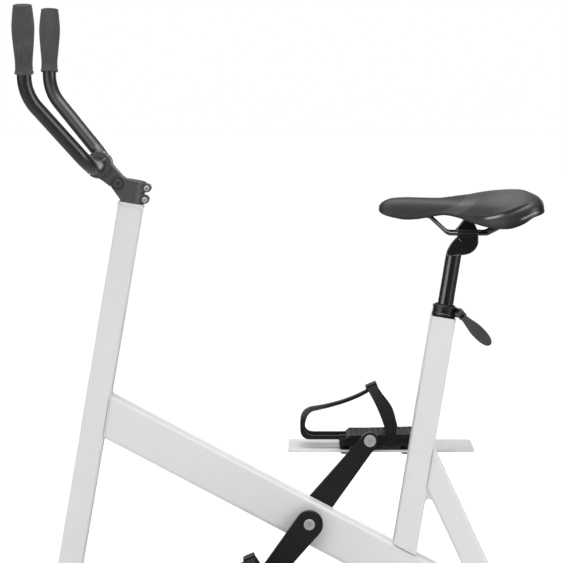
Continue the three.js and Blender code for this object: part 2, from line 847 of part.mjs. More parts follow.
function pedalBody(side) {
  const outline = polygon([
    [-pedalFront, -pedalBelowAxle],
    [pedalRear, -pedalBelowAxle],
    [pedalRear, pedalTop(pedalRear)],
    [0, pedalTop(0)],
    [-pedalFront, pedalTop(0)],
  ]);
  const plan = prism(
    roundedRectangle(pedalFront + pedalRear, pedalWidth, pedalCorner),
    pedalBelowAxle + pedalTop(pedalRear) + 2 * overrun,
  ).translate((pedalRear - pedalFront) / 2, 0, -pedalBelowAxle - overrun);
  const body = common(slab(outline, pedalWidth), plan);
  const insideWidth = pedalWidth / 2 - pedalRim;
  const pocketTop = pedalAboveAxle - pedalSkin;
  const pocketLow = -pedalBelowAxle - overrun;
  const frontPocket = block(
    -pedalFront + pedalRim + clipTab,
    -pedalHubHalf,
    -insideWidth,
    insideWidth,
    pocketLow,
    pocketTop,
  );
  const rearPocket = block(
    pedalHubHalf,
    pedalRear - pedalRim,
    -insideWidth,
    insideWidth,
    pocketLow,
    pocketTop,
  );
  const bore = rodY(
    holeRadius(pedalAxleRadius, runningGap, roundSides),
    -pedalWidth,
    pedalWidth / 2 - pedalAxleEndCover,
  ).rotateZ(side < 0 ? Math.PI : 0);
  const boltLine = plateBoltLine(side);
  const standoffs = [-plateBoltFront, plateBoltRear].map((x) => (
    rodZ(plateStandoffRadius, -pedalBelowAxle - plateStandoff, pocketTop + fitGap, smallSides)
      .translate(x, boltLine, 0)
  ));
  const boltHoles = [-plateBoltFront, plateBoltRear].map((x) => rodZ(
    holeRadius(plateBoltRadius, fitGap, smallSides),
    -pedalBelowAxle - plateStandoff - overrun,
    -pedalBelowAxle + plateBoltGrip,
    smallSides,
  ).translate(x, boltLine, 0));
  const legSlots = [-1, 1].map((end) => block(
    -pedalFront - overrun,
    -pedalFront + clipTab,
    (end * clipLegSpacing) / 2 - clipLegWidth / 2 - fitGap,
    (end * clipLegSpacing) / 2 + clipLegWidth / 2 + fitGap,
    clipLegTop - clipBand - fitGap,
    clipLegTop + fitGap,
  ));
  const strapSlots = [-1, 1].map((end) => fromStrapFrame(block(
    -strapWidth / 2 - fitGap,
    strapWidth / 2 + fitGap,
    end * strapEndPlace - strapThickness / 2 - fitGap,
    end * strapEndPlace + strapThickness / 2 + fitGap,
    -strapSink - fitGap,
    strapWidth,
  )));
  return cut(
    join(cut(body, frontPocket, rearPocket), ...standoffs),
    bore,
    ...boltHoles,
    ...legSlots,
    ...strapSlots,
  );
}

// Axle with its flange against the crank's inner face, pointing outwards along +Y
function pedalAxle() {
  const threadEnd = crankOuterFace + pedalFromCrank / 2;
  const tip = pedalInnerFace + pedalWidth - pedalAxleEndCover - fitGap;
  const axle = turned([
    [0, crankInnerFace - fitGap - pedalFlangeHeight],
    [pedalFlangeRadius, crankInnerFace - fitGap - pedalFlangeHeight],
    [pedalFlangeRadius, crankInnerFace - fitGap],
    [pedalThreadRadius, crankInnerFace - fitGap],
    [pedalThreadRadius, threadEnd],
    [pedalAxleRadius, threadEnd],
    [pedalAxleRadius, tip],
    [0, tip],
  ]);
  const socket = rodY(
    pedalFlangeHexRadius,
    crankInnerFace - pedalFlangeHeight - overrun,
    crankInnerFace - fitGap,
    hexSides,
  );
  return cut(axle, socket);
}

// Sheet under the pedal that the water pushes against, level with the pedal's inner side
function resistancePlate(side) {
  const shift = side * (plateInset + (plateWidth - pedalWidth) / 2);
  const top = -pedalBelowAxle - plateStandoff - fitGap;
  const shape = roundedRectangle(plateFront + plateRear, plateWidth, plateCorner);
  const plate = prism(shape, plateThickness, cornerSegments)
    .translate((plateRear - plateFront) / 2, shift, top - plateThickness);
  const holes = [-plateBoltFront, plateBoltRear].map((x) => rodZ(
    holeRadius(plateBoltRadius, fitGap, smallSides),
    top - plateThickness - overrun,
    top + overrun,
    smallSides,
  ).translate(x, plateBoltLine(side), 0));
  return cut(plate, ...holes);
}

function plateBolt() {
  const length = plateThickness + plateStandoff + plateBoltGrip;
  const seat = -pedalBelowAxle - plateStandoff - plateThickness - 2 * fitGap;
  return boltY(plateBoltRadius, length, plateBoltHeadRadius, plateBoltHeadHeight)
    .rotateX(-Math.PI / 2)
    .translate(0, 0, seat);
}

// Side view of the clip's band as one closed outline: leg, front bend, top bar and loop
function clipOutline() {
  const legTop = clipLegTop;
  const legBottom = clipLegTop - clipBand;
  const back = -pedalFront + clipTab - fitGap;
  const bend = (clipReach - pedalFront) * clipBendShare;
  const front = -clipReach;
  const inner = front + clipBand;
  const shoulder = front + bend * clipBendRunShare;
  const arch = front * clipArchShare;
  const bendTop = legTop + bend * clipBendRiseShare;
  const bar = clipBand * clipBarShare;
  const nose = clipRise * clipNoseShare;
  const high = clipRise * clipShoulderShare;
  const middle = clipRise * clipMiddleShare;
  const crest = clipRise * clipCrestShare;
  const shape = new THREE.Shape();
  shape.moveTo(back, legBottom);
  shape.lineTo(front + bend, legBottom);
  shape.quadraticCurveTo(front, legBottom, front, bendTop);
  shape.quadraticCurveTo(front, nose, shoulder, high);
  shape.quadraticCurveTo(arch, middle, 0, crest);
  shape.lineTo(0, crest - bar);
  shape.quadraticCurveTo(arch, middle - bar, shoulder, high - bar);
  shape.quadraticCurveTo(inner, nose - clipBand, inner, bendTop);
  shape.quadraticCurveTo(inner, legTop, inner + bend, legTop);
  shape.lineTo(back, legTop);
  shape.closePath();
  return shape;
}

// Front view of the clip: two legs that run up and meet in one bar
function clipMask() {
  const outer = clipLegSpacing / 2 + clipLegWidth / 2;
  const inner = clipLegSpacing / 2 - clipLegWidth / 2;
  const bar = clipBarWidth / 2;
  const low = -clipBand - overrun;
  const fork = clipRise * clipForkShare;
  const crown = clipRise * clipCrownShare;
  const shape = polygon([
    [-outer, low],
    [-inner, low],
    [-inner, fork],
    [-bar / 2, crown - clipBand * 2],
    [bar / 2, crown - clipBand * 2],
    [inner, fork],
    [inner, low],
    [outer, low],
    [outer, fork],
    [bar, crown],
    [bar, clipRise + overrun],
    [-bar, clipRise + overrun],
    [-bar, crown],
    [-outer, fork],
  ]);
  return alongX(shape, -clipReach - overrun, clipLoopLength);
}

// The strap leans forward as it rises, from the pedal's side to the clip's loop
const strapFoot = new THREE.Vector2(strapHeelSet, pedalTop(strapHeelSet));
const strapTop = new THREE.Vector2(strapTopSet, clipRise - clipLoopWall - strapThickness);
const strapRun = strapTop.clone().sub(strapFoot);
const strapLean = Math.atan2(strapRun.x, strapRun.y);
const strapEndPlace = pedalWidth / 2 - pedalRim / 2;
const strapDeck = strapWidth / 3; // clear of the pedal's upper face

// From the strap's own frame, with +Z along it and its foot at the origin, to the pedal's
function fromStrapFrame(geometry) {
  return geometry.rotateY(strapLean).translate(strapFoot.x, 0, strapFoot.y);
}

function toeClip() {
  const band = common(slab(clipOutline(), pedalWidth), clipMask());
  const middle = strapRun.length();
  const loopHalf = strapThickness / 2 + fitGap + clipLoopWall;
  const slotHalf = strapThickness / 2 + fitGap;
  const loop = fromStrapFrame(block(
    -clipLoopLength / 2,
    clipLoopLength / 2,
    -clipLoopWidth / 2,
    clipLoopWidth / 2,
    middle - loopHalf,
    middle + loopHalf,
  ));
  const slot = fromStrapFrame(block(
    -strapWidth / 2 - fitGap,
    strapWidth / 2 + fitGap,
    -clipLoopWidth,
    clipLoopWidth,
    middle - slotHalf,
    middle + slotHalf,
  ));
  return cut(join(band, loop), slot);
}

// Webbing arch over the foot: out of one side of the pedal, through the loop, down the other
function toeStrap() {
  const flat = clipLoopWidth / 2 + fitGap;
  const top = strapRun.length();
  const rise = top * strapUprightShare;
  const edge = (offset, side) => ({
    foot: [side * (strapEndPlace + offset), -strapSink],
    deck: [side * (strapEndPlace + offset), strapDeck],
    bow: [side * (strapEndPlace + offset), rise * strapBowShare],
    knee: [side * (strapEndPlace + offset), rise],
    kneePull: [side * (strapEndPlace + offset), (rise + top) / 2],
    flatPull: [(side * (strapEndPlace + flat)) / 2, top + offset],
    flatEnd: [side * flat, top + offset],
  });
  const shape = new THREE.Shape();
  const half = strapThickness / 2;
  const outerRight = edge(half, 1);
  const outerLeft = edge(half, -1);
  const innerLeft = edge(-half, -1);
  const innerRight = edge(-half, 1);
  shape.moveTo(...outerRight.foot);
  shape.lineTo(...outerRight.deck);
  shape.lineTo(...outerRight.bow);
  shape.lineTo(...outerRight.knee);
  shape.bezierCurveTo(...outerRight.kneePull, ...outerRight.flatPull, ...outerRight.flatEnd);
  shape.lineTo(...outerLeft.flatEnd);
  shape.bezierCurveTo(...outerLeft.flatPull, ...outerLeft.kneePull, ...outerLeft.knee);
  shape.lineTo(...outerLeft.bow);
  shape.lineTo(...outerLeft.deck);
  shape.lineTo(...outerLeft.foot);
  shape.lineTo(...innerLeft.foot);
  shape.lineTo(...innerLeft.deck);
  shape.lineTo(...innerLeft.bow);
  shape.lineTo(...innerLeft.knee);
  shape.bezierCurveTo(...innerLeft.kneePull, ...innerLeft.flatPull, ...innerLeft.flatEnd);
  shape.lineTo(...innerRight.flatEnd);
  shape.bezierCurveTo(...innerRight.flatPull, ...innerRight.kneePull, ...innerRight.knee);
  shape.lineTo(...innerRight.bow);
  shape.lineTo(...innerRight.deck);
  shape.lineTo(...innerRight.foot);
  shape.closePath();
  return fromStrapFrame(bowed(alongX(shape, -strapWidth / 2, strapWidth / 2), top));
}

// The strap's uprights bent towards the heel between the pedal and the strap's flat top
function bowed(geometry, top) {
  const position = geometry.attributes.position;
  for (let i = 0; i < position.count; i += 1) {
    const rise = (position.getZ(i) - strapDeck) / (top - strapDeck);
    const share = Math.min(Math.max(rise, 0), 1);
    const skewed = share ** (Math.log(1 / 2) / Math.log(strapBowShare));
    position.setX(i, position.getX(i) + strapBow * Math.sin(Math.PI * skewed));
  }
  return geometry;
}

function addPedal(side, label) {
  const turn = crankTurn * degrees;
  const x = side * crankLength * Math.sin(turn);
  const z = crankHeight + side * crankLength * Math.cos(turn);
  const pedal = addGroup(bike, x, side * pedalMiddle, z);
  addPiece(pedal, `pedal_body_${label}`, pedalBody(side), 'blackPlastic');
  addPiece(pedal, `toe_clip_${label}`, toeClip(), 'blackPlastic');
  addPiece(pedal, `toe_strap_${label}`, toeStrap(), 'webbing');
  addPiece(pedal, `resistance_plate_${label}`, resistancePlate(side), 'plateGrey');
  for (const [place, offset] of [['front', -plateBoltFront], ['rear', plateBoltRear]]) {
    const bolt = addPiece(pedal, `plate_bolt_${place}_${label}`, plateBolt(), 'steel');
    bolt.position.set(offset, plateBoltLine(side), 0);
  }
  const axle = pedalAxle();
  const joint = addGroup(bike, x, 0, z);
  addPiece(joint, `pedal_axle_${label}`, side < 0 ? axle.rotateZ(Math.PI) : axle, 'steel');
}

// Seat tube fittings, in a frame on the seat tube's top with +Z up the tube
function seatSleeve() {
  const plugWidth = postWidth - 2 * postWall - 2 * fitGap;
  const plug = prism(
    roundedRectangle(plugWidth, plugWidth, postCorner - postWall),
    sleeveDepth,
    cornerSegments,
  ).translate(0, 0, -sleeveDepth);
  const collar = rodZ(collarRadius, -fitGap, collarRise);
  const bore = rodZ(
    holeRadius(seatPostRadius, fitGap, roundSides),
    -sleeveDepth - overrun,
    collarRise + overrun,
  );
  const slot = block(0, postWidth, -collarSlot / 2, collarSlot / 2, ringSeat, collarRise + overrun);
  return cut(join(plug, collar), bore, slot);
}

const ringInside = holeRadius(collarRadius, fitGap, roundSides);
const ringOutside = ringInside + ringWall;
const earMiddle = ringOutside + earLength - skewerRadius - earHeight / 2;
const ringMiddle = ringSeat + ringHeight / 2;

function seatClampRing() {
  const band = rodZ(ringOutside, ringSeat, ringSeat + ringHeight);
  const ears = block(
    ringInside,
    ringOutside + earLength,
    -earHalfWidth,
    earHalfWidth,
    ringMiddle - earHeight / 2,
    ringMiddle + earHeight / 2,
  );
  const bore = rodZ(ringInside, ringSeat - overrun, ringSeat + ringHeight + overrun);
  const slot = block(
    0,
    ringOutside + earLength + overrun,
    -collarSlot / 2,
    collarSlot / 2,
    -overrun,
    collarRise + overrun,
  );
  const skewerHole = rodY(
    holeRadius(skewerRadius, fitGap, smallSides),
    -postWidth,
    postWidth,
    smallSides,
  ).translate(earMiddle, 0, ringMiddle);
  return cut(join(band, ears), bore, slot, skewerHole);
}

// Lever pin, in a level frame on the seat tube's top line; the lever drops to the rear
const camPlace = -(earHalfWidth + camRadius + 2 * fitGap);

// Rod through the ears with a nut at the far end and an eye and pin in the lever's cam
function clampSkewer() {
  const rod = rodY(skewerRadius, camPlace, earHalfWidth + skewerNutHeight, smallSides);
  const nut = rodY(
    skewerNutRadius,
    earHalfWidth + fitGap,
    earHalfWidth + fitGap + skewerNutHeight,
    hexSides,
  );
  const eye = rodZ(skewerEyeRadius, -skewerEyeWidth / 2, skewerEyeWidth / 2)
    .translate(0, camPlace, 0);
  const pin = rodZ(camPinRadius, -camWidth / 2 + fitGap, camWidth / 2 - fitGap, smallSides)
    .translate(0, camPlace, 0);
  return join(rod, nut, eye, pin);
}

// Cam barrel with a fork over the eye, and the paddle along +X, dished towards the thumb
function clampLever() {
  const barrel = rodZ(camRadius, -camWidth / 2, camWidth / 2);
  const paddle = new THREE.Shape();
  const inner = camPinRadius;
  const outer = inner + leverThickness;
  paddle.moveTo(0, inner);
  paddle.quadraticCurveTo(leverLength / 2, inner + leverCup, leverLength, inner);
  paddle.lineTo(leverLength, outer - leverThickness / 2);
  paddle.quadraticCurveTo(leverLength * leverTipShare, outer, leverLength / 2, outer + leverCup / 2);
  paddle.quadraticCurveTo(leverLength / 4, outer + leverCup, 0, camRadius - fitGap);
  paddle.closePath();
  const plan = slab(leverPlan(), 4 * camRadius).translate(0, -2 * camRadius, 0);
  const blade = prism(paddle, 2 * leverWidth).translate(0, 0, -leverWidth).rotateX(Math.PI);
  const forkSlot = block(
    -camRadius - overrun,
    skewerEyeRadius + runningGap,
    -camRadius - overrun,
    camRadius + overrun,
    -skewerEyeWidth / 2 - runningGap,
    skewerEyeWidth / 2 + runningGap,
  );
  const pinHole = rodZ(
    holeRadius(camPinRadius, fitGap, smallSides),
    -camWidth,
    camWidth,
    smallSides,
  );
  return cut(join(barrel, common(blade, plan)), forkSlot, pinHole);
}

// Lever seen from the side: it widens a little to its round end
function leverPlan() {
  const root = leverWidth * leverRootShare;
  const end = leverWidth / 2;
  const shape = new THREE.Shape();
  shape.moveTo(0, -root);
  shape.lineTo(leverLength - end, -end);
  shape.absarc(leverLength - end, 0, end, -Math.PI / 2, Math.PI / 2);
  shape.lineTo(0, root);
  shape.closePath();
  return shape;
}

function addSeatTubeFittings() {
  const fittings = addGroup(bike, seatTubeTop.x, 0, seatTubeTop.y, seatTubeLean);
  addPiece(fittings, 'seat_post_sleeve', seatSleeve(), 'blackPlastic');
  addPiece(fittings, 'seat_clamp_ring', seatClampRing(), 'glossBlack');
  const cam = addGroup(fittings, earMiddle, 0, ringMiddle, leverDrop - seatTubeLean);
  addPiece(cam, 'clamp_skewer', clampSkewer(), 'steel');
  const lever = addPiece(cam, 'clamp_lever', clampLever(), 'leverGrey');
  lever.position.y = camPlace;
}

// Seat post, saddle clamp and rails, in a level frame on the tilt axis
const tiltX = tiltBehind;
const tiltZ = crankHeight + tiltRise;

function seatPost() {
  const axisAtTilt = atHeight(seatTubeLine, tiltZ);
  const offset = axisAtTilt.x - tiltX;
  const topEnd = -headBottom + headTop;
  const lowEnd = -(tiltRise - seatTubeRise + postDepth);
  const lean = (geometry) => geometry.rotateY(seatTubeLean * degrees).translate(offset, 0, 0);
  const tube = lean(rodZ(seatPostRadius, lowEnd, topEnd));
  const bore = lean(rodZ(seatPostRadius - seatPostWall, lowEnd - overrun, topEnd - headTop));
  const head = slab(headOutline(offset), headWidth);
  const seat = rodY(
    holeRadius(cradleRadius, fitGap, 2 * roundSides),
    -headWidth,
    headWidth,
    2 * roundSides,
  );
  const swing = clampBoltReach * Math.sin(tiltSwing * degrees);
  const slotHalf = swing + clampBoltRadius + runningGap;
  const slot = block(
    -slotHalf,
    slotHalf,
    -clampBoltRadius - runningGap,
    clampBoltRadius + runningGap,
    -headBottom - overrun * 2,
    0,
  );
  return cut(join(tube, head), bore, seat, slot);
}

// Side view of the post's head: a swan neck that carries the round seat of the cradle
function headOutline(offset) {
  const shape = new THREE.Shape();
  const chin = offset - seatPostRadius;
  shape.moveTo(headRear, -headTop);
  shape.lineTo(-cradleRadius, -headTop);
  shape.quadraticCurveTo(-headFront, -headTop - headLip, chin, -headBottom);
  shape.lineTo(offset + seatPostRadius, -headBottom - headLip);
  shape.quadraticCurveTo(headRear - headTop, -headBottom - headLip, headRear, -headBottom / 2);
  shape.closePath();
  return shape;
}

function railGrooves() {
  return [-1, 1].map((side) => rodX(
    holeRadius(railRadius, fitGap, smallSides),
    -clampLength,
    clampLength,
    smallSides,
  ).translate(0, (side * railSpacing) / 2, 0));
}

function clampBoltHole() {
  return rodZ(
    holeRadius(clampBoltRadius, fitGap, smallSides),
    -cradleRadius - overrun,
    clampRise + overrun,
    smallSides,
  );
}

// Lower half of the clamp: a round keel in the post's head and a wing under each rail
function lowerCradle() {
  const half = clampLength / 2;
  const keelShape = new THREE.Shape();
  keelShape.absarc(0, 0, cradleRadius, Math.PI, 2 * Math.PI);
  keelShape.closePath();
  const keel = new THREE.ExtrudeGeometry(keelShape, {
    depth: cradleNeck,
    bevelEnabled: false,
    curveSegments: roundSides,
  }).rotateX(Math.PI / 2).translate(0, cradleNeck / 2, 0);
  const wing = block(-half, half, -cradleWidth / 2, cradleWidth / 2, -cradleWing, -fitGap);
  return cut(
    join(common(wing, rodY(cradleRadius, -cradleWidth, cradleWidth, 2 * roundSides)), keel),
    ...railGrooves(),
    clampBoltHole(),
    block(-postWidth, postWidth, -postWidth, postWidth, -fitGap, postWidth),
  );
}

function upperClamp() {
  const half = clampLength / 2;
  const plate = slab(
    polygon([
      [half, fitGap],
      [half, clampShoulder],
      [half * spineRearShare, clampRise],
      [-half * spineFrontShare, clampRise],
      [-half, clampShoulder],
      [-half, fitGap],
    ]),
    clampSpine,
  );
  const wings = block(
    -half,
    half,
    -cradleWidth / 2,
    cradleWidth / 2,
    fitGap,
    clampShoulder,
  );
  return cut(join(plate, wings), ...railGrooves(), clampBoltHole());
}

function cradleBolt() {
  const length = clampRise + fitGap + clampBoltReach;
  return boltY(clampBoltRadius, length, clampBoltHeadRadius, clampBoltHeadHeight)
    .rotateX(Math.PI / 2)
    .translate(0, 0, clampRise + fitGap);
}

// Middle line of the one bent rod that makes both rails
function railRoute(extension) {
  const rear = new THREE.Vector3(railRearReach, railRearSpacing / 2, railRearRise);
  const heel = new THREE.Vector3(railFlat / 2, railSpacing / 2, 0);
  rear.addScaledVector(rear.clone().sub(heel).normalize(), extension);
  const toe = new THREE.Vector3(-railFlat / 2, railSpacing / 2, 0);
  const shoulder = new THREE.Vector3(-railNoseShoulder, railNoseSpacing / 2, railNoseRise);
  const nose = new THREE.Vector3(-railNoseReach, railNoseSpacing / 2, railNoseRise);
  const rightSide = [rear, heel, toe, shoulder, nose];
  const mirrored = rightSide.map((point) => point.clone().setY(-point.y)).reverse();
  const bends = [
    railBendRadius,
    railBendRadius,
    railBendRadius,
    railNoseBendRadius,
    railNoseBendRadius,
    railBendRadius,
    railBendRadius,
    railBendRadius,
  ];
  return bentRoute([...rightSide, ...mirrored], bends);
}

const railSides = 8;
const railSteps = 52;

function saddleRails() {
  return sweep(disc(railRadius, railSides), railRoute(0), railSteps);
}

function railSpace() {
  const radius = holeRadius(railRadius, fitGap, railSides);
  return sweep(disc(radius, railSides), railRoute(fitGap), railSteps);
}

const saddleStations = saddleStationShares.map(([place, top, rim, half]) => ({
  x: place * saddleLength - saddleNose,
  rim: rim * saddleHeight,
  rise: (top - rim) * saddleHeight,
  half: half * saddleHalfWidth,
}));

// Underside of the cushion at one station: a trough inside the rim, moved in by the inset
function troughPoints(station, shares, inset) {
  const wall = Math.min(saddleRimWall, station.half * saddleWallShare);
  const depth = station.rise * saddleHollowShare;
  return shares.map(([place, height]) => new THREE.Vector3(
    station.x,
    place * (station.half - wall) - Math.sign(place) * inset,
    station.rim + height * depth - inset,
  ));
}

// Places across the trough and its height there, from one side to the other
const troughShares = [[1, 0], [0.8, 0.6], [0.45, 1], [-0.45, 1], [-0.8, 0.6], [-1, 0]];
const shellShares = [[0.88, 0.36], [0.8, 0.6], [0.45, 1], [-0.45, 1], [-0.8, 0.6], [-0.88, 0.36]];
const shellEndStations = 3; // at each end of the saddle, without the shell
const crownSegments = 14;
const crownWidthPower = 0.85;
const crownHeightPower = 0.62;

function crownPoints(station) {
  return Array.from({ length: crownSegments + 1 }, (_, i) => {
    const angle = Math.PI * (0.5 - i / crownSegments);
    const across = Math.sign(angle) * Math.abs(Math.sin(angle)) ** crownWidthPower;
    const up = Math.max(Math.cos(angle), 0) ** crownHeightPower;
    return new THREE.Vector3(
      station.x,
      across * station.half,
      station.rim + up * station.rise,
    );
  });
}

function saddleCover() {
  return loft(saddleStations.map((station) => [
    ...crownPoints(station),
    ...troughPoints(station, troughShares, 0).reverse(),
  ]));
}

// Base under the cushion, with a socket for the rails' nose bend and one for each rear end
function saddleShell() {
  const inside = saddleStations.slice(shellEndStations, -shellEndStations);
  const plate = loft(inside.map((station) => [
    ...troughPoints(station, shellShares, fitGap),
    ...troughPoints(station, shellShares, fitGap + saddleShellThickness).reverse(),
  ]));
  const under = loft(inside.map((station) => {
    const top = troughPoints(station, shellShares, fitGap + saddleShellThickness / 2);
    const foot = [top[0], top[top.length - 1]].map((point) => point.clone().setZ(0));
    return [...top, foot[1], foot[0]];
  }));
  const around = railRadius + socketWall;
  const noseHalf = railNoseSpacing / 2 + railRadius + fitGap;
  const noseSocket = block(
    -railNoseReach - around,
    -railNoseReach + socketDepth,
    -noseHalf,
    noseHalf,
    railNoseRise - railRadius - socketWall / 2,
    saddleHeight,
  );
  const rearSockets = [-1, 1].map((side) => block(
    railRearReach - socketDepth,
    railRearReach + around,
    (side * railRearSpacing) / 2 - around,
    (side * railRearSpacing) / 2 + around,
    railRearRise - around,
    saddleHeight,
  ));
  const sockets = [noseSocket, ...rearSockets].map((socket) => common(socket, under));
  return cut(join(plate, ...sockets), railSpace());
}

function addSeat() {
  const seat = addGroup(bike, tiltX, 0, tiltZ);
  addPiece(seat, 'seat_post', seatPost(), 'glossBlack');
  addPiece(seat, 'lower_cradle', lowerCradle(), 'blackAlloy');
  addPiece(seat, 'upper_clamp', upperClamp(), 'blackAlloy');
  addPiece(seat, 'cradle_bolt', cradleBolt(), 'steel');
  addPiece(seat, 'saddle_rails', saddleRails(), 'glossBlack');
  addPiece(seat, 'saddle_shell', saddleShell(), 'blackPlastic');
  addPiece(seat, 'saddle_cover', saddleCover(), 'saddleSkin');
}

// Stem, in a frame on the front post's top with +Z up the post
const stemLow = headPlateThickness + 2 * fitGap;
const stemHigh = stemLow + stemHeight;
const stemOutside = steererRadius + stemWall;
const pivotZ = stemLow + pivotAboveSeat;
const earCentre = new THREE.Vector2(-pivotAhead, pivotZ);
const earFoot = new THREE.Vector2(-stemOutside * earFootShare, stemLow);
const earShoulder = new THREE.Vector2(-steererRadius, stemHigh);

function steererTube() {
  const outline = roundedRectangle(postWidth, postWidth, postCorner);
  const plate = prism(outline, headPlateThickness, cornerSegments).translate(0, 0, fitGap);
  const tube = rodZ(steererRadius, headPlateThickness, stemLow + steererHeight - fitGap);
  const bore = rodZ(steererRadius - steererWall, -overrun, stemLow + steererHeight + overrun);
  return cut(join(plate, tube), bore);
}

function stemPinchHeights() {
  return stemBoltShares.map((share) => stemLow + share * stemHeight);
}

// Clamp on the steerer, with two pinch bosses behind and two ears for the arm in front
function stemBase() {
  const barrel = rodZ(stemOutside, stemLow, stemHigh);
  const bosses = stemPinchHeights().flatMap((z) => [
    rodY(stemBossRadius, -stemBossWidth / 2, stemBossWidth / 2).translate(stemBossBehind, 0, z),
    block(
      0,
      stemBossBehind,
      -stemBossWidth / 2,
      stemBossWidth / 2,
      z - stemBossRadius,
      z + stemBossRadius,
    ),
  ]);
  const ears = slab(earOutline(), stemWidth);
  const bore = rodZ(
    holeRadius(steererRadius, fitGap, roundSides),
    stemLow - overrun,
    stemHigh + overrun + pivotRadius,
  );
  const slot = block(
    0,
    stemBossBehind + 2 * stemBossRadius,
    -stemSlot / 2,
    stemSlot / 2,
    stemLow - overrun,
    stemHigh + overrun,
  );
  const hubSpace = rodY(
    holeRadius(pivotHubRadius, runningGap, roundSides),
    -pivotTongue / 2 - runningGap,
    pivotTongue / 2 + runningGap,
  ).translate(-pivotAhead, 0, pivotZ);
  const forkSpace = block(
    -pivotAhead - 2 * pivotRadius,
    -pivotAhead,
    -pivotTongue / 2 - runningGap,
    pivotTongue / 2 + runningGap,
    stemLow - overrun,
    stemHigh + pivotRadius,
  );
  const pivotHole = rodY(
    holeRadius(pivotBoltRadius, fitGap, smallSides),
    -stemWidth,
    stemWidth,
    smallSides,
  ).translate(-pivotAhead, 0, pivotZ);
  const boltHoles = stemPinchHeights().map((z) => rodY(
    holeRadius(stemBoltRadius, fitGap, smallSides),
    -stemBossWidth,
    stemBossWidth,
    smallSides,
  ).translate(stemBossBehind, 0, z));
  const capSpace = rodZ(
    holeRadius(stemOutside, fitGap, roundSides),
    stemHigh,
    stemHigh + 2 * pivotRadius,
  );
  const solid = join(barrel, ...bosses, ears);
  return cut(solid, capSpace, bore, slot, hubSpace, forkSpace, pivotHole, ...boltHoles);
}

// Side view of the ears: a disc round the pivot, drawn back to the clamp
function earOutline() {
  const shape = new THREE.Shape();
  const low = tangentAngle(earFoot, earCentre, pivotRadius, 1);
  const high = tangentAngle(earShoulder, earCentre, pivotRadius, -1);
  shape.moveTo(0, stemLow);
  shape.lineTo(0, stemHigh);
  shape.lineTo(earShoulder.x, earShoulder.y);
  shape.absarc(earCentre.x, earCentre.y, pivotRadius, high, low);
  shape.lineTo(earFoot.x, earFoot.y);
  shape.closePath();
  return shape;
}

// Angle on a circle of the point where a line from outside touches it, on the chosen side
function tangentAngle(from, centre, radius, side) {
  const away = from.clone().sub(centre);
  const spread = Math.acos(radius / away.length());
  const angle = Math.atan2(away.y, away.x) - side * spread;
  return angle < 0 ? angle + 2 * Math.PI : angle;
}

function stemTopCap() {
  const cap = rodZ(stemOutside - fitGap, stemHigh + fitGap, stemHigh + fitGap + stemCapHeight);
  const plug = rodZ(
    (steererRadius - steererWall) * Math.cos(Math.PI / roundSides) - fitGap,
    stemHigh - stemCapPlug,
    stemHigh + stemCapHeight / 2,
  );
  return join(cap, plug);
}

function pinchBolt(z) {
  return boltY(
    stemBoltRadius,
    stemBossWidth,
    stemBoltHeadRadius,
    stemBoltHeadHeight,
  ).rotateZ(Math.PI).translate(stemBossBehind, -stemBossWidth / 2 - fitGap, z);
}

function pivotBolt() {
  return boltY(
    pivotBoltRadius,
    stemWidth,
    pivotBoltHeadRadius,
    pivotBoltHeadHeight,
  ).rotateZ(Math.PI).translate(-pivotAhead, -stemWidth / 2 - fitGap, pivotZ);
}

// Arm from the pivot at the origin to the bar clamp at -X, with the clamp's rear half; it
// clears the ears and their foot down to the arm's lowest place
function stemArm() {
  const hub = rodY(pivotHubRadius, -pivotTongue / 2, pivotTongue / 2);
  const neck = block(
    -armLength / 2,
    0,
    -pivotTongue / 2,
    pivotTongue / 2,
    -armNeckHeight / 2,
    armNeckHeight / 2,
  );
  const beam = slab(
    polygon([
      [0, -armThickness / 2],
      [0, armThickness / 2],
      [-armLength, barClampRadius * armEndShare],
      [-armLength, -barClampRadius * armEndShare],
    ]),
    stemWidth,
  );
  const earSpace = rodY(
    holeRadius(pivotRadius, runningGap, 2 * roundSides),
    -stemWidth,
    stemWidth,
    2 * roundSides,
  );
  const earFootSpace = block(
    0,
    pivotRadius + runningGap,
    -stemWidth,
    stemWidth,
    0,
    2 * pivotRadius,
  ).rotateY((armFall - armRise) * degrees - tangentAngle(earFoot, earCentre, pivotRadius, 1));
  const clampHalf = rodY(barClampRadius, -barClampWidth / 2, barClampWidth / 2)
    .translate(-armLength, 0, 0);
  const pivotHole = rodY(
    holeRadius(pivotBoltRadius, runningGap, smallSides),
    -stemWidth,
    stemWidth,
    smallSides,
  );
  const frontSpace = block(
    -armLength - 3 * barClampRadius,
    -armLength + faceGap / 2,
    -stemWidth,
    stemWidth,
    -3 * barClampRadius,
    3 * barClampRadius,
  );
  const solid = join(cut(join(beam, clampHalf), earSpace, earFootSpace), join(hub, neck));
  return cut(solid, pivotHole, frontSpace, barSpace(), ...faceBoltHoles());
}

function barSpace() {
  return rodY(
    holeRadius(barRadius, fitGap, 2 * barSides),
    -barClampWidth,
    barClampWidth,
    2 * barSides,
  ).translate(-armLength, 0, 0);
}

function faceBoltHoles() {
  return [-1, 1].map((side) => rodX(
    holeRadius(faceBoltRadius, fitGap, smallSides),
    -armLength - 2 * barClampRadius,
    -armLength + faceBoltDepth + fitGap,
    smallSides,
  ).translate(0, 0, (side * faceBoltSpacing) / 2));
}

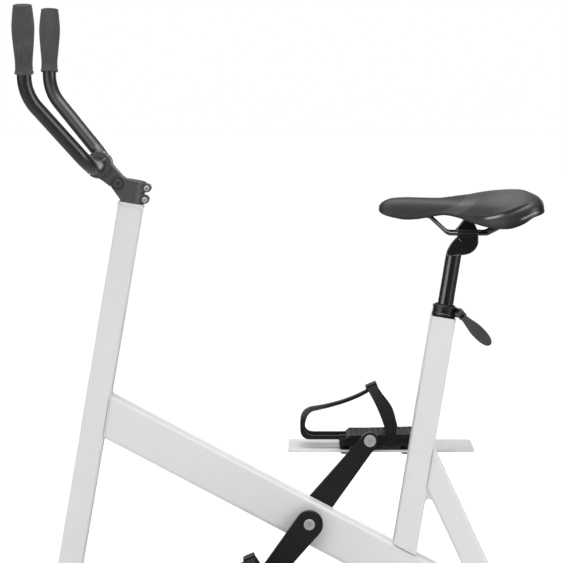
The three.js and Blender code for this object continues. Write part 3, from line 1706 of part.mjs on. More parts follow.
// Front half of the bar clamp, flat under each bolt's head
function stemFaceplate() {
  const round = rodY(barClampRadius, -barClampWidth / 2, barClampWidth / 2)
    .translate(-armLength, 0, 0);
  const rearSpace = block(
    -armLength - faceGap / 2,
    -armLength + 2 * barClampRadius,
    -stemWidth,
    stemWidth,
    -3 * barClampRadius,
    3 * barClampRadius,
  );
  const headSpaces = [-1, 1].map((side) => rodX(
    holeRadius(faceBoltHeadRadius, fitGap, roundSides),
    -armLength - 2 * barClampRadius,
    -armLength - faceHeadSeat,
  ).translate(0, 0, (side * faceBoltSpacing) / 2));
  return cut(round, rearSpace, barSpace(), ...faceBoltHoles(), ...headSpaces);
}

function faceBolt(side) {
  return boltY(
    faceBoltRadius,
    faceHeadSeat + faceBoltDepth,
    faceBoltHeadRadius,
    faceBoltHeadHeight,
  ).rotateZ(Math.PI / 2)
    .translate(-armLength - faceHeadSeat - fitGap, 0, (side * faceBoltSpacing) / 2);
}

// Middle line of the handlebar, from the left top to the right top
function barRoute() {
  const half = [
    new THREE.Vector3(-barHornReach, barTopSpacing / 2, barTopRise),
    new THREE.Vector3(-barHornReach, barHornSpacing / 2, barHornRise),
    new THREE.Vector3(0, barFlatWidth / 2, 0),
  ];
  const other = half.map((point) => point.clone().setY(-point.y)).reverse();
  const bends = [
    barUpperBendRadius,
    barLowerBendRadius,
    barLowerBendRadius,
    barUpperBendRadius,
  ];
  return bentRoute([...half, ...other], bends);
}

const barSteps = 40;
const barBoreSides = 6;

function handlebar() {
  const shape = disc(barRadius, barSides);
  shape.holes.push(disc(barRadius - barWall, barBoreSides));
  return sweep(shape, barRoute(), barSteps);
}

// Grip with its closed end up, around the middle line of the bar's top
function grip() {
  const bore = holeRadius(barRadius, fitGap, roundSides);
  const low = -gripLength + gripCap;
  const [waist, swell, palm, brow] = gripStationShares.map((share) => low + share * gripLength);
  const outline = [
    [bore, low],
    [gripEndRadius, low],
    [gripWaistRadius, waist],
    [(gripWaistRadius + gripPalmRadius) / 2, swell],
    [gripPalmRadius, palm],
    [(gripEndRadius + gripPalmRadius) / 2, brow],
    [gripEndRadius, gripCap - fitGap],
    [gripEndRadius * gripCapShare, gripCap],
    [0, gripCap],
    [0, fitGap],
    [bore, fitGap],
  ];
  return turned([...outline, outline[0]]).rotateX(Math.PI / 2);
}

function addStem() {
  const stem = addGroup(bike, postTop.x, 0, postTop.y, frontPostLean);
  addPiece(stem, 'steerer_tube', steererTube(), 'powderWhite');
  addPiece(stem, 'stem_base', stemBase(), 'blackAlloy');
  addPiece(stem, 'stem_top_cap', stemTopCap(), 'blackAlloy');
  const [lowBolt, highBolt] = stemPinchHeights();
  addPiece(stem, 'stem_pinch_bolt_lower', pinchBolt(lowBolt), 'steel');
  addPiece(stem, 'stem_pinch_bolt_upper', pinchBolt(highBolt), 'steel');
  addPiece(stem, 'stem_pivot_bolt', pivotBolt(), 'steel');
  const arm = addGroup(stem, -pivotAhead, 0, pivotZ, armRise);
  addPiece(arm, 'stem_arm', stemArm(), 'blackAlloy');
  addPiece(arm, 'stem_faceplate', stemFaceplate(), 'blackAlloy');
  addPiece(arm, 'faceplate_bolt_lower', faceBolt(-1), 'steel');
  addPiece(arm, 'faceplate_bolt_upper', faceBolt(1), 'steel');
  arm.updateWorldMatrix(true, false);
  const barMiddle = arm.localToWorld(new THREE.Vector3(-armLength, 0, 0));
  addHandlebar(barMiddle);
}

function addHandlebar(barMiddle) {
  const bar = addGroup(bike, barMiddle.x, 0, barMiddle.z);
  addPiece(bar, 'handlebar', handlebar(), 'glossBlack');
  for (const [side, label] of [[-1, 'left'], [1, 'right']]) {
    const splay = side * (barTopSpacing - barHornSpacing) / 2;
    const holder = addPiece(bar, `grip_${label}`, grip(), 'gripRubber');
    holder.position.set(-barHornReach, (side * barTopSpacing) / 2, barTopRise);
    holder.rotation.x = -Math.atan2(splay, barUpright);
  }
}

addFrameTubes();
addFeet();
addBottomBracket();
addCranks();
addPedal(-1, 'left');
addPedal(1, 'right');
addSeatTubeFittings();
addSeat();
addStem();

// The origin lies on the floor under the middle of the whole bike
const extent = new THREE.Box3().setFromObject(bike, true);
bike.position.x = -(extent.min.x + extent.max.x) / 2;

export default bike;
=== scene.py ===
import json
import math
from functools import cache

import bmesh
import bpy
from mathutils import Matrix, Vector

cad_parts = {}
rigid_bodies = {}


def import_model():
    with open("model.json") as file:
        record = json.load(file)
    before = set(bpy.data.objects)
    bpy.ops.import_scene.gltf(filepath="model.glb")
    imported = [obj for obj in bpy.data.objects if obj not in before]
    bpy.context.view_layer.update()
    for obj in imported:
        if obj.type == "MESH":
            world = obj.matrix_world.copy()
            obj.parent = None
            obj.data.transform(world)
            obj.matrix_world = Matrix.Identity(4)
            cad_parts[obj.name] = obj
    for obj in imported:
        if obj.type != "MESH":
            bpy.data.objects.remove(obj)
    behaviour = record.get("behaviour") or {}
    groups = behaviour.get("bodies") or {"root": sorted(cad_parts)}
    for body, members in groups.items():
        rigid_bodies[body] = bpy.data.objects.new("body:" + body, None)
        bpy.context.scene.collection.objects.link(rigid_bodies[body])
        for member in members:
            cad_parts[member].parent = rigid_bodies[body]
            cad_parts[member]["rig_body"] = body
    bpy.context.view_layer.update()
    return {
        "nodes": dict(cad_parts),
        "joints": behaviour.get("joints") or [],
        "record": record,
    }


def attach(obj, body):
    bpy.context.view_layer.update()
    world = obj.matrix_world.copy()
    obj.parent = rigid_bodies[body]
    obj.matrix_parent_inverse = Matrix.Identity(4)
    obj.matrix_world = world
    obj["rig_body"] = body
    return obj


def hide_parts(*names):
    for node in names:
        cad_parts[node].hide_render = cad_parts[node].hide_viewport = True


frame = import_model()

bl_info = {
    "name": "Aqua Bike",
    "version": (1, 0, 0),
    "blender": (4, 5, 0),
    "location": "View3D > Sidebar > Aqua Bike",
    "description": "Dresses an aqua bike with its paint, rubber, webbing and padding",
    "category": "Object",
}

# Places and sizes of the bike's solids, in metres. The bike faces -X and its left side is -Y.

JOINTS = {joint["name"]: joint for joint in frame["joints"]}
CRANK = Vector(JOINTS["crank_spin"]["pos_m"])
TILT = Vector(JOINTS["saddle_tilt"]["pos_m"])
STEM_PIVOT = Vector(JOINTS["stem_tilt"]["pos_m"])
BAR_MIDDLE = Vector(JOINTS["handlebar_roll"]["pos_m"])
PEDALS = {side: Vector(JOINTS[f"{side}_pedal_spin"]["pos_m"]) for side in ("left", "right")}
WHEELS = {side: Vector(JOINTS[f"{side}_wheel_spin"]["pos_m"]) for side in ("left", "right")}
SIDES = {"left": -1, "right": 1}
SLOTS = {part["node"]: part["material_slot"] for part in frame["record"]["subparts"]}

POST_WIDTH = 0.042
POST_CORNER = 0.005
DOWN_TUBE_HEIGHT = 0.072
DOWN_TUBE_CORNER = 0.007
FIT_GAP = 0.0003
FRONT_POST_LEAN = 9.9
FRONT_POST_AHEAD = 0.399
FRONT_POST_RISE = 0.5445
SEAT_TUBE_LEAN = 9.1
SEAT_TUBE_BEHIND = 0.172
SEAT_TUBE_RISE = 0.354
REAR_LEG_LEAN = 24.9
REAR_LEG_BEHIND = 0.252
DOWN_TUBE_LEAN = 117.9
FOOT_TUBE_TOP = 0.0538
SHELL_RADIUS = 0.02
# Edges that turn by more than this, in degrees, count as sharp
SHARP = 38


# Meshes

def mesh_of(name, points, faces, material=None):
    """A mesh from points and faces, with its doubles merged and its faces turned outwards."""
    mesh = bpy.data.meshes.new(name)
    mesh.from_pydata([tuple(point) for point in points], [], faces)
    work = bmesh.new()
    work.from_mesh(mesh)
    bmesh.ops.remove_doubles(work, verts=work.verts, dist=1e-6)
    bmesh.ops.recalc_face_normals(work, faces=work.faces)
    work.to_mesh(mesh)
    work.free()
    if material:
        mesh.materials.append(material)
    return mesh


def object_of(name, data):
    """An object that holds a mesh, a lamp or a camera. A mesh keeps its place in its points."""
    holder = bpy.data.objects.new(name, data)
    bpy.context.scene.collection.objects.link(holder)
    return holder


def drop(*objects):
    for thing in objects:
        mesh = thing.data
        bpy.data.objects.remove(thing)
        if mesh and not mesh.users:
            bpy.data.meshes.remove(mesh)


def baked(piece):
    """The piece's modifiers worked into a plain mesh."""
    graph = bpy.context.evaluated_depsgraph_get()
    graph.update()
    result = bpy.data.meshes.new_from_object(
        piece.evaluated_get(graph), preserve_all_data_layers=True, depsgraph=graph
    )
    old = piece.data
    piece.modifiers.clear()
    piece.data = result
    if not old.users:
        bpy.data.meshes.remove(old)
    return piece


def carve(piece, cutters, operation="DIFFERENCE"):
    """Takes the cutters out of the piece, or joins them to it, and drops the cutters."""
    for number, cutter in enumerate(cutters):
        modifier = piece.modifiers.new(f"carve {number}", "BOOLEAN")
        modifier.operation = operation
        modifier.solver = "MANIFOLD"
        modifier.object = cutter
    baked(piece)
    drop(*cutters)
    return piece


def mark_edges(mesh, strips):
    """Writes an attribute that is 1 on the rounded edges, where a finish wears first."""
    attribute = mesh.attributes.new("edge", "FLOAT", "CORNER")
    values = [0.0] * len(mesh.loops)
    for face in mesh.polygons:
        if face.index in strips:
            for corner in face.loop_indices:
                values[corner] = 1.0
    attribute.data.foreach_set("value", values)


def finish_edges(piece, width, segments, smooth=SHARP):
    """Rounds the sharp edges, keeps the flats flat and marks where the finish wears."""
    mesh = piece.data
    for face in mesh.polygons:
        face.material_index = 0
    if width:
        bevel = piece.modifiers.new("rounded edges", "BEVEL")
        bevel.width = width
        bevel.segments = segments
        bevel.limit_method = "ANGLE"
        bevel.angle_limit = math.radians(SHARP)
        bevel.use_clamp_overlap = True
        bevel.miter_outer = "MITER_ARC"
        bevel.material = 1
        while len(mesh.materials) < 2:
            mesh.materials.append(None)
        baked(piece)
        mesh = piece.data
    strips = {face.index for face in mesh.polygons if face.material_index == 1}
    for face in mesh.polygons:
        face.material_index = 0
    while len(mesh.materials) > 1:
        mesh.materials.pop()
    mark_edges(mesh, strips)
    mesh.shade_smooth()
    mesh.set_sharp_from_angle(angle=math.radians(smooth))
    weights = piece.modifiers.new("flats stay flat", "WEIGHTED_NORMAL")
    weights.keep_sharp = True
    return baked(piece)


def solid_copy(node):
    """A clean copy of a solid of the bike: doubles merged and flat faces made whole."""
    mesh = frame["nodes"][node].data.copy()
    mesh.name = f"{node}_finish"
    work = bmesh.new()
    work.from_mesh(mesh)
    bmesh.ops.remove_doubles(work, verts=work.verts, dist=2e-6)
    bmesh.ops.dissolve_limit(
        work, angle_limit=math.radians(0.6), verts=work.verts, edges=work.edges
    )
    for face in work.faces:
        face.smooth = True
    work.to_mesh(mesh)
    work.free()
    mesh.materials.clear()
    return object_of(mesh.name, mesh)


def settle(piece, body, nodes, slot, material=None):
    """Hands a finished piece over to the body that it moves with."""
    if material:
        piece.data.materials.clear()
        piece.data.materials.append(material)
    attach(piece, body)
    if nodes:
        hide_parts(*nodes)
    return piece


def tagged_join(name, pieces):
    """One mesh from several, all in place already, keeping each one's faces and materials."""
    joined = bmesh.new()
    materials = []
    for piece in pieces:
        mesh = piece.data
        start = len(joined.faces)
        joined.from_mesh(mesh)
        joined.faces.ensure_lookup_table()
        slots = list(mesh.materials) or [None]
        for face in joined.faces[start:]:
            wanted = slots[min(face.material_index, len(slots) - 1)]
            if wanted not in materials:
                materials.append(wanted)
            face.material_index = materials.index(wanted)
    mesh = bpy.data.meshes.new(name)
    joined.to_mesh(mesh)
    joined.free()
    for material in materials:
        mesh.materials.append(material)
    drop(*pieces)
    return object_of(name, mesh)


# Curves, outlines and solids

def ease(value, low, high):
    """A soft step from 0 to 1 as the value goes from low to high."""
    t = min(max((value - low) / (high - low), 0.0), 1.0)
    return t * t * (3 - 2 * t)


def hollow(distance, width, depth):
    return depth * math.exp(-(distance / width) ** 2)


def smooth_at(rows, place):
    """Each column's value at a place, on a smooth curve through rows that start with theirs."""
    last = len(rows) - 2
    spot = next((i for i in range(last) if place < rows[i + 1][0]), last)
    first, second = rows[spot], rows[spot + 1]
    before, after = rows[max(spot - 1, 0)], rows[min(spot + 2, last + 1)]
    gap = second[0] - first[0]
    t = min(max((place - first[0]) / gap, 0.0), 1.0)
    values = []
    for low, high, earlier, later in zip(first[1:], second[1:], before[1:], after[1:]):
        into = (high - earlier) / (second[0] - before[0]) * gap
        out = (later - low) / (after[0] - first[0]) * gap
        values.append((2 * t ** 3 - 3 * t ** 2 + 1) * low + (t ** 3 - 2 * t ** 2 + t) * into
                      + (3 * t ** 2 - 2 * t ** 3) * high + (t ** 3 - t ** 2) * out)
    return values


def arc(x, z, radius, start, end, steps):
    """Points round a centre, angles in degrees from the first axis towards the second."""
    return [
        (
            x + radius * math.cos(math.radians(start + (end - start) * step / steps)),
            z + radius * math.sin(math.radians(start + (end - start) * step / steps)),
        )
        for step in range(steps + 1)
    ]


def quadratic(start, pull, end, steps):
    """Points of a quadratic curve after its start."""
    points = []
    for step in range(1, steps + 1):
        t = step / steps
        points.append(tuple(
            (1 - t) ** 2 * a + 2 * t * (1 - t) * b + t ** 2 * c
            for a, b, c in zip(start, pull, end)
        ))
    return points


def cubic(start, pull, push, end, steps):
    """Points of a cubic curve after its start."""
    points = []
    for step in range(1, steps + 1):
        t = step / steps
        weights = ((1 - t) ** 3, 3 * t * (1 - t) ** 2, 3 * t ** 2 * (1 - t), t ** 3)
        points.append(tuple(
            sum(weight * value for weight, value in zip(weights, values))
            for values in zip(start, pull, push, end)
        ))
    return points


def rounded_box_outline(width, height, corner, steps):
    x, z = width / 2 - corner, height / 2 - corner
    return (
        arc(x, z, corner, 0, 90, steps)
        + arc(-x, z, corner, 90, 180, steps)
        + arc(-x, -z, corner, 180, 270, steps)
        + arc(x, -z, corner, 270, 360, steps)
    )


def extruded(name, outline, low, high, axis="Y"):
    """A solid from an outline: drawn in X and Z and run along Y, or in the other two axes."""
    place = {
        "Y": lambda a, b, run: (a, run, b),
        "Z": lambda a, b, run: (a, b, run),
        "X": lambda a, b, run: (run, a, b),
    }[axis]
    count = len(outline)
    points = [place(a, b, low) for a, b in outline] + [place(a, b, high) for a, b in outline]
    faces = [(i, (i + 1) % count, count + (i + 1) % count, count + i) for i in range(count)]
    faces += [tuple(range(count)), tuple(range(2 * count - 1, count - 1, -1))]
    return object_of(name, mesh_of(name, points, faces))


def skin(rings):
    """Faces between rings of points. A ring that repeats one point makes a fan."""
    faces = []
    for first, second in zip(rings, rings[1:]):
        for step in range(len(first)):
            after = (step + 1) % len(first)
            face = dict.fromkeys((first[step], first[after], second[after], second[step]))
            if len(face) > 2:
                faces.append(tuple(face))
    return faces


def turned(name, profile, steps, axis="Y", shape=None):
    """A solid of revolution from [radius, place] pairs; the profile starts and ends on the
    axis, or closes on itself. A shape gives the radius anew at each place and angle."""
    closed = profile[0] == profile[-1]
    points, rings = [], []
    for radius, along in profile[:-1] if closed else profile:
        count = 1 if radius == 0 else steps
        rings.append(list(range(len(points), len(points) + count)) * (steps // count))
        for step in range(count):
            angle = 2 * math.pi * step / steps
            reach = shape(radius, along, angle) if shape else radius
            a, b = reach * math.cos(angle), reach * math.sin(angle)
            points.append({
                "Y": (a, along, b), "Z": (a, b, along), "X": (along, a, b)
            }[axis])
    if closed:
        rings.append(rings[0])
    return object_of(name, mesh_of(name, points, skin(rings)))


def cylinder(radius, low, high, place=(0, 0, 0), axis="Y", steps=72):
    profile = [(0, low), (radius, low), (radius, high), (0, high)]
    return placed(turned("cylinder", profile, steps, axis), at(place))


def block(low, high):
    """A box from its lowest corner to its highest."""
    points = [(x, y, z) for x in (low[0], high[0]) for y in (low[1], high[1])
              for z in (low[2], high[2])]
    faces = [(0, 1, 3, 2), (4, 6, 7, 5), (0, 4, 5, 1), (2, 3, 7, 6), (0, 2, 6, 4), (1, 5, 7, 3)]
    return object_of("block", mesh_of("block", points, faces))


def mapped(name, points, rings, layout, marks, sharp):
    """A smooth closed form over rings of points, with a map that has a mark for each point."""
    mesh = bpy.data.meshes.new(name)
    mesh.from_pydata(points, [], skin(rings) + [tuple(rings[0]), tuple(rings[-1])])
    layer = mesh.uv_layers.new(name=layout)
    for loop in mesh.loops:
        layer.data[loop.index].uv = marks[loop.vertex_index]
    work = bmesh.new()
    work.from_mesh(mesh)
    bmesh.ops.triangulate(work, faces=[face for face in work.faces if len(face.verts) > 4])
    bmesh.ops.recalc_face_normals(work, faces=work.faces)
    work.to_mesh(mesh)
    work.free()
    mesh.shade_smooth()
    mesh.set_sharp_from_angle(angle=math.radians(sharp))
    return object_of(name, mesh)


def placed(piece, matrix):
    """Moves a piece by working the place into its mesh."""
    piece.data.transform(matrix)
    if matrix.determinant() < 0:
        piece.data.flip_normals()
    piece.data.update()
    return piece


def turn_y(angle):
    """Turn about the Y axis that takes +X towards -Z for a positive angle, in degrees."""
    return Matrix.Rotation(math.radians(angle), 4, "Y")


def at(place, angle=0.0):
    return Matrix.Translation(Vector(place)) @ turn_y(angle)


def bent_path(corners, radii, step):
    """Points along straight runs joined by round bends, one radius for each inner corner."""
    corners = [Vector(corner) for corner in corners]
    points = [corners[0]]

    def run_to(target):
        start = points[-1].copy()
        pieces = max(1, round((target - start).length / step))
        points.extend(start.lerp(target, number / pieces) for number in range(1, pieces + 1))

    for before, corner, after, radius in zip(corners, corners[1:], corners[2:], radii):
        into, out = (corner - before).normalized(), (after - corner).normalized()
        turn = into.angle(out)
        setback = radius * math.tan(turn / 2)
        handle = 4 / 3 * math.tan(turn / 4) * radius
        start, end = corner - into * setback, corner + out * setback
        run_to(start)
        bend = cubic(start, start + into * handle, end - out * handle, end,
                     max(6, round(radius * turn / step)))
        points.extend(Vector(point) for point in bend)
    run_to(corners[-1])
    return points


# Node trees

class Graph:
    """A node tree. Its nodes come from one method that takes type, settings and sockets."""

    def __init__(self, tree):
        self.tree = tree

    def node(self, kind, settings=None, sockets=None):
        made = self.tree.nodes.new(kind)
        for key, setting in (settings or {}).items():
            setattr(made, key, setting)
        self.feed(made, sockets or {})
        return made

    def feed(self, made, sockets):
        for key, value in sockets.items():
            value = value.socket if isinstance(value, Value) else value
            if isinstance(value, bpy.types.NodeSocket):
                self.tree.links.new(value, made.inputs[key])
            else:
                made.inputs[key].default_value = value


# Shader maths

class Value:
    """One number inside a material. Arithmetic on it adds the nodes that work it out."""

    def __init__(self, net, socket):
        self.net = net
        self.socket = socket

    def _maths(self, operation, *others, clamp=False):
        sockets = {number: value for number, value in enumerate((self, *others))}
        settings = {"operation": operation, "use_clamp": clamp}
        return self.net.value("ShaderNodeMath", settings, sockets)

    def __add__(self, other):
        return self._maths("ADD", other)

    __radd__ = __add__

    def __mul__(self, other):
        return self._maths("MULTIPLY", other)

    __rmul__ = __mul__

    def __sub__(self, other):
        return self._maths("SUBTRACT", other)

    def __rsub__(self, other):
        return (self * -1) + other

    def absolute(self):
        return self._maths("ABSOLUTE")

    def sine(self):
        return self._maths("SINE")

    def clamped(self):
        return self._maths("ADD", 0.0, clamp=True)

    def scaled(self, low, high, start=0.0, end=1.0, kind="LINEAR"):
        """The value's range from low to high taken to the one from start to end."""
        sockets = {"Value": self, "From Min": low, "From Max": high,
                   "To Min": start, "To Max": end}
        return self.net.value("ShaderNodeMapRange", {"interpolation_type": kind}, sockets)

    def step(self, low, high, start=0.0, end=1.0):
        """The same, as a soft step."""
        return self.scaled(low, high, start, end, "SMOOTHSTEP")


class Net(Graph):
    """A material's nodes, and the patterns and finishes that they make."""

    def __init__(self, material):
        super().__init__(material.node_tree)
        self.shader = next(n for n in self.tree.nodes if n.type == "BSDF_PRINCIPLED")
        self._place = None

    def value(self, kind, settings, sockets, output=0):
        return Value(self, self.node(kind, settings, sockets).outputs[output])

    @property
    def place(self):
        if self._place is None:
            self._place = self.node("ShaderNodeTexCoord").outputs["Object"]
        return self._place

    def moved(self, scale, turn=(0, 0, 0)):
        """A place that is turned and stretched before a pattern reads it."""
        sockets = {"Vector": self.place, "Scale": scale,
                   "Rotation": tuple(math.radians(angle) for angle in turn)}
        return self.node("ShaderNodeMapping", {}, sockets).outputs[0]

    def axes(self, vector=None):
        made = self.node("ShaderNodeSeparateXYZ", {}, {0: vector or self.place})
        return tuple(Value(self, made.outputs[number]) for number in range(3))

    def noise(self, scale, detail, rough=0.5, vector=None):
        sockets = {"Vector": vector or self.place, "Scale": scale, "Detail": detail,
                   "Roughness": rough}
        return self.value("ShaderNodeTexNoise", {}, sockets)

    def cells(self, scale, feature="F1"):
        sockets = {"Vector": self.place, "Scale": scale}
        return self.value("ShaderNodeTexVoronoi", {"feature": feature}, sockets, "Distance")

    def attribute(self, name):
        settings = {"attribute_name": name, "attribute_type": "GEOMETRY"}
        return self.value("ShaderNodeAttribute", settings, {}, "Fac")

    def layout(self, name):
        """The piece's own map, in metres along and across it."""
        return self.node("ShaderNodeUVMap", {"uv_map": name}).outputs[0]

    def mix(self, share, first, second):
        """One colour over another."""
        sockets = {0: share, 6: opaque(first), 7: opaque(second)}
        made = self.node("ShaderNodeMix", {"data_type": "RGBA"}, sockets)
        return made.outputs[2]

    def bump(self, height, strength, distance):
        sockets = {"Height": height, "Strength": strength, "Distance": distance}
        return self.node("ShaderNodeBump", {}, sockets).outputs[0]

    def surface(self, **sockets):
        """Sets the shader's sockets, whose names are given with _ for each space."""
        sockets["Base_Color"] = opaque(sockets["Base_Color"])
        self.feed(self.shader, {key.replace("_", " "): value for key, value in sockets.items()})


def opaque(colour):
    """Four numbers for a colour of three; links pass as they are."""
    if isinstance(colour, (Value, bpy.types.NodeSocket)):
        return colour
    return (*colour[:3], 1.0)


def grey(level, warm=0.0):
    """A linear grey from the level that a screen shows, 0 to 255."""
    share = level / 255
    linear = share / 12.92 if share <= 0.04045 else ((share + 0.055) / 1.055) ** 2.4
    return (linear * (1 + warm), linear, linear * (1 - warm))


def tinted(colour, share):
    """The colour, darker or lighter by a share."""
    return tuple(channel * share for channel in colour)


def shade(name):
    """A colour that the user may change, as three numbers."""
    return tuple(getattr(bpy.context.scene.aqua_bike_colours, name))


def finish(build):
    """Makes the material once and gives the same one on later calls."""
    @cache
    def give():
        material = bpy.data.materials.new(f"{build.__name__}_look")
        material.use_nodes = True
        build(Net(material))
        return material
    return give


@finish
def frame_powder_coat(net):
    height = net.axes()[2]
    base = shade("frame_paint")
    peel = net.noise(900, 2)
    waves = net.noise(210, 2)
    cloud = net.noise(5, 4, 0.6)
    splash = net.noise(48, 5, 0.65).step(0.6, 0.8) * height.step(0.05, 0.55, 1.0, 0.15)
    worn = net.noise(260, 5, 0.7).step(0.66, 0.74) * net.noise(14, 2).step(0.56, 0.66)
    low = height.step(0.0, 0.4, 0.05, 0.0)
    colour = net.mix(cloud.scaled(0.3, 0.7, 0.0, 0.5).clamped(), base, tinted(base, 0.9))
    colour = net.mix((splash * 0.1 + low).clamped(), colour, grey(160, 0.03))
    colour = net.mix(worn * 0.12, colour, grey(120))
    net.surface(
        Base_Color=colour,
        Roughness=(0.34 + cloud * 0.12 + splash * 0.12 + worn * 0.2).clamped(),
        Normal=net.bump(peel * 0.35 + waves * 0.65, 0.16, 0.0004),
        Specular_IOR_Level=0.45,
    )


@finish
def weld_seam_paint(net):
    base = tinted(shade("frame_paint"), 0.97)
    pits = net.noise(1500, 3)
    net.surface(
        Base_Color=net.mix(pits.step(0.45, 0.75) * 0.25, base, grey(176)),
        Roughness=0.36 + pits * 0.15,
        Normal=net.bump(pits, 0.2, 0.0003),
    )


def gloss_black(net, level, roughness, coat=1.0, blur=0.1):
    orange = net.noise(420, 2)
    scuff = net.noise(95, 5, 0.7).step(0.6, 0.78)
    line = net.noise(60, 4, 0.6, net.moved((1, 1, 0.14))).step(0.62, 0.75)
    edge = net.attribute("edge")
    base = grey(level)
    colour = net.mix(edge * net.noise(180, 4).step(0.5, 0.62) * 0.5, base, grey(112))
    colour = net.mix(scuff * 0.1, colour, grey(88))
    net.surface(
        Base_Color=colour,
        Roughness=(roughness + scuff * 0.14 + line * 0.08).clamped(),
        Normal=net.bump(orange, 0.05, 0.0003),
        Specular_IOR_Level=coat,
        Coat_Weight=coat,
        Coat_Roughness=blur,
    )


@finish
def gloss_black_tube(net):
    gloss_black(net, 9, 0.22)


@finish
def bar_black(net):
    gloss_black(net, 9, 0.4, 0.62, 0.3)


@finish
def clamp_black(net):
    gloss_black(net, 18, 0.34, 0.45)


def blasted_alloy(net, colour, wear, roughness, metal):
    grain = net.noise(2600, 2)
    patch = net.noise(38, 4, 0.6)
    edge = net.attribute("edge")
    rub = (edge * net.noise(240, 4, 0.6).step(0.36, 0.6)).clamped()
    nicks = net.noise(330, 5, 0.75).step(0.7, 0.76) * patch.step(0.5, 0.62)
    cast = net.mix(patch.scaled(0.3, 0.7).clamped() * 0.5, colour, tinted(colour, 1.3))
    net.surface(
        Base_Color=net.mix((rub * 0.8 + nicks * 0.6).clamped(), cast, wear),
        Metallic=metal,
        Roughness=(roughness + grain * 0.1 - rub * 0.08).clamped(),
        Normal=net.bump(grain, 0.22, 0.0002),
    )


@finish
def stem_alloy(net):
    blasted_alloy(net, grey(80), grey(165), 0.42, 0.45)


@finish
def saddle_clamp_alloy(net):
    blasted_alloy(net, grey(26), grey(110), 0.42, 0.5)


@finish
def crank_alloy(net):
    blasted_alloy(net, grey(24), grey(88), 0.44, 0.3)


@finish
def stainless_steel(net):
    brush = net.noise(700, 3, 0.6, net.moved((1, 0.08, 1)))
    spots = net.noise(160, 4, 0.65).step(0.6, 0.75)
    net.surface(
        Base_Color=net.mix(spots * 0.35, grey(205), grey(160, 0.03)),
        Metallic=0.7,
        Roughness=(0.34 + brush * 0.12 + spots * 0.1).clamped(),
        Normal=net.bump(brush, 0.12, 0.0002),
    )


@finish
def dark_steel(net):
    """Steel with a black oxide finish, rubbed bright along its edges."""
    blasted_alloy(net, grey(74), grey(160), 0.38, 0.5)


def moulded(net, level, roughness, grain_scale=1100, wear=70, depth=0.28, shine=0.5):
    grain = net.cells(grain_scale)
    soft = net.noise(46, 4, 0.6)
    edge = net.attribute("edge")
    pale = edge * net.noise(150, 4, 0.6).step(0.4, 0.66)
    scuff = net.noise(120, 6, 0.75, net.moved((0.35, 1, 1.4))).step(0.62, 0.74)
    colour = net.mix(soft.scaled(0.3, 0.7).clamped() * 0.6, grey(level), grey(level * 1.25))
    colour = net.mix((pale * 0.55 + scuff * 0.22).clamped(), colour, grey(wear))
    net.surface(
        Base_Color=colour,
        Roughness=(roughness + scuff * 0.12 + soft * 0.06).clamped(),
        Normal=net.bump(grain, depth, 0.0002),
        Specular_IOR_Level=shine,
    )


@finish
def black_plastic(net):
    moulded(net, 20, 0.55, shine=0.22)


@finish
def lever_plastic(net):
    moulded(net, 50, 0.42, 1300, 96, 0.22)


@finish
def plate_plastic(net):
    haze = net.noise(26, 4, 0.6)
    scratch = net.noise(210, 5, 0.7, net.moved((0.06, 1, 1), (0, 0, 24)))
    lines = scratch.step(0.6, 0.68)
    fine = net.noise(1200, 2)
    edge = net.attribute("edge")
    colour = net.mix(haze.scaled(0.3, 0.7).clamped() * 0.4, shade("plates"), grey(168))
    colour = net.mix((lines * 0.25 + edge * 0.2).clamped(), colour, grey(232))
    net.surface(
        Base_Color=colour,
        Specular_IOR_Level=0.2,
        Roughness=(0.46 + haze * 0.1 + lines * 0.16).clamped(),
        Normal=net.bump(fine * 0.5 + lines, 0.1, 0.0002),
        Subsurface_Weight=0.08,
        Subsurface_Radius=(0.004, 0.004, 0.004),
        Subsurface_Scale=0.6,
    )


def rubber(net, base, roughness, dust_level=120):
    pores = net.noise(1700, 3)
    dust = net.noise(34, 5, 0.65).step(0.46, 0.74)
    edge = net.attribute("edge")
    colour = net.mix(dust * 0.12, base, grey(dust_level, 0.02))
    colour = net.mix(edge * 0.18, colour, grey(dust_level))
    net.surface(
        Base_Color=colour,
        Roughness=(roughness - dust * 0.08 + pores * 0.08).clamped(),
        Normal=net.bump(pores, 0.35, 0.0003),
        Specular_IOR_Level=0.3,
        Sheen_Weight=0.08,
    )


@finish
def grip_rubber(net):
    rubber(net, shade("grips"), 0.62)


@finish
def boot_rubber(net):
    rubber(net, grey(46), 0.7)


@finish
def wheel_rubber(net):
    rubber(net, grey(52), 0.62, 105)


@finish
def strap_webbing(net):
    """Ribbed webbing: fine ribs across the strap, crossed by the warp, with darker edges."""
    along, across, _ = net.axes(net.layout("strap"))
    warp = ((across * 7000).sine() * 0.5 + 0.5)
    weft = ((along * 3800 + (across * 3500).sine() * 1.2).sine() * 0.5 + 0.5)
    fuzz = net.noise(2400, 3)
    weave = (weft * 0.7 + warp * 0.4) * (0.8 + fuzz * 0.4)
    selvedge = across.absolute().step(0.0062, 0.0076)
    worn = net.noise(70, 4, 0.6).step(0.5, 0.72)
    colour = net.mix(weave.scaled(0.1, 1.1).clamped(), grey(8), grey(30))
    colour = net.mix((selvedge * 0.35 + worn * 0.25).clamped(), colour, grey(34))
    net.surface(
        Base_Color=colour,
        Roughness=0.66 + fuzz * 0.2,
        Normal=net.bump(weave, 0.8, 0.0003),
        Specular_IOR_Level=0.3,
        Sheen_Weight=0.06,
        Sheen_Roughness=0.5,
    )


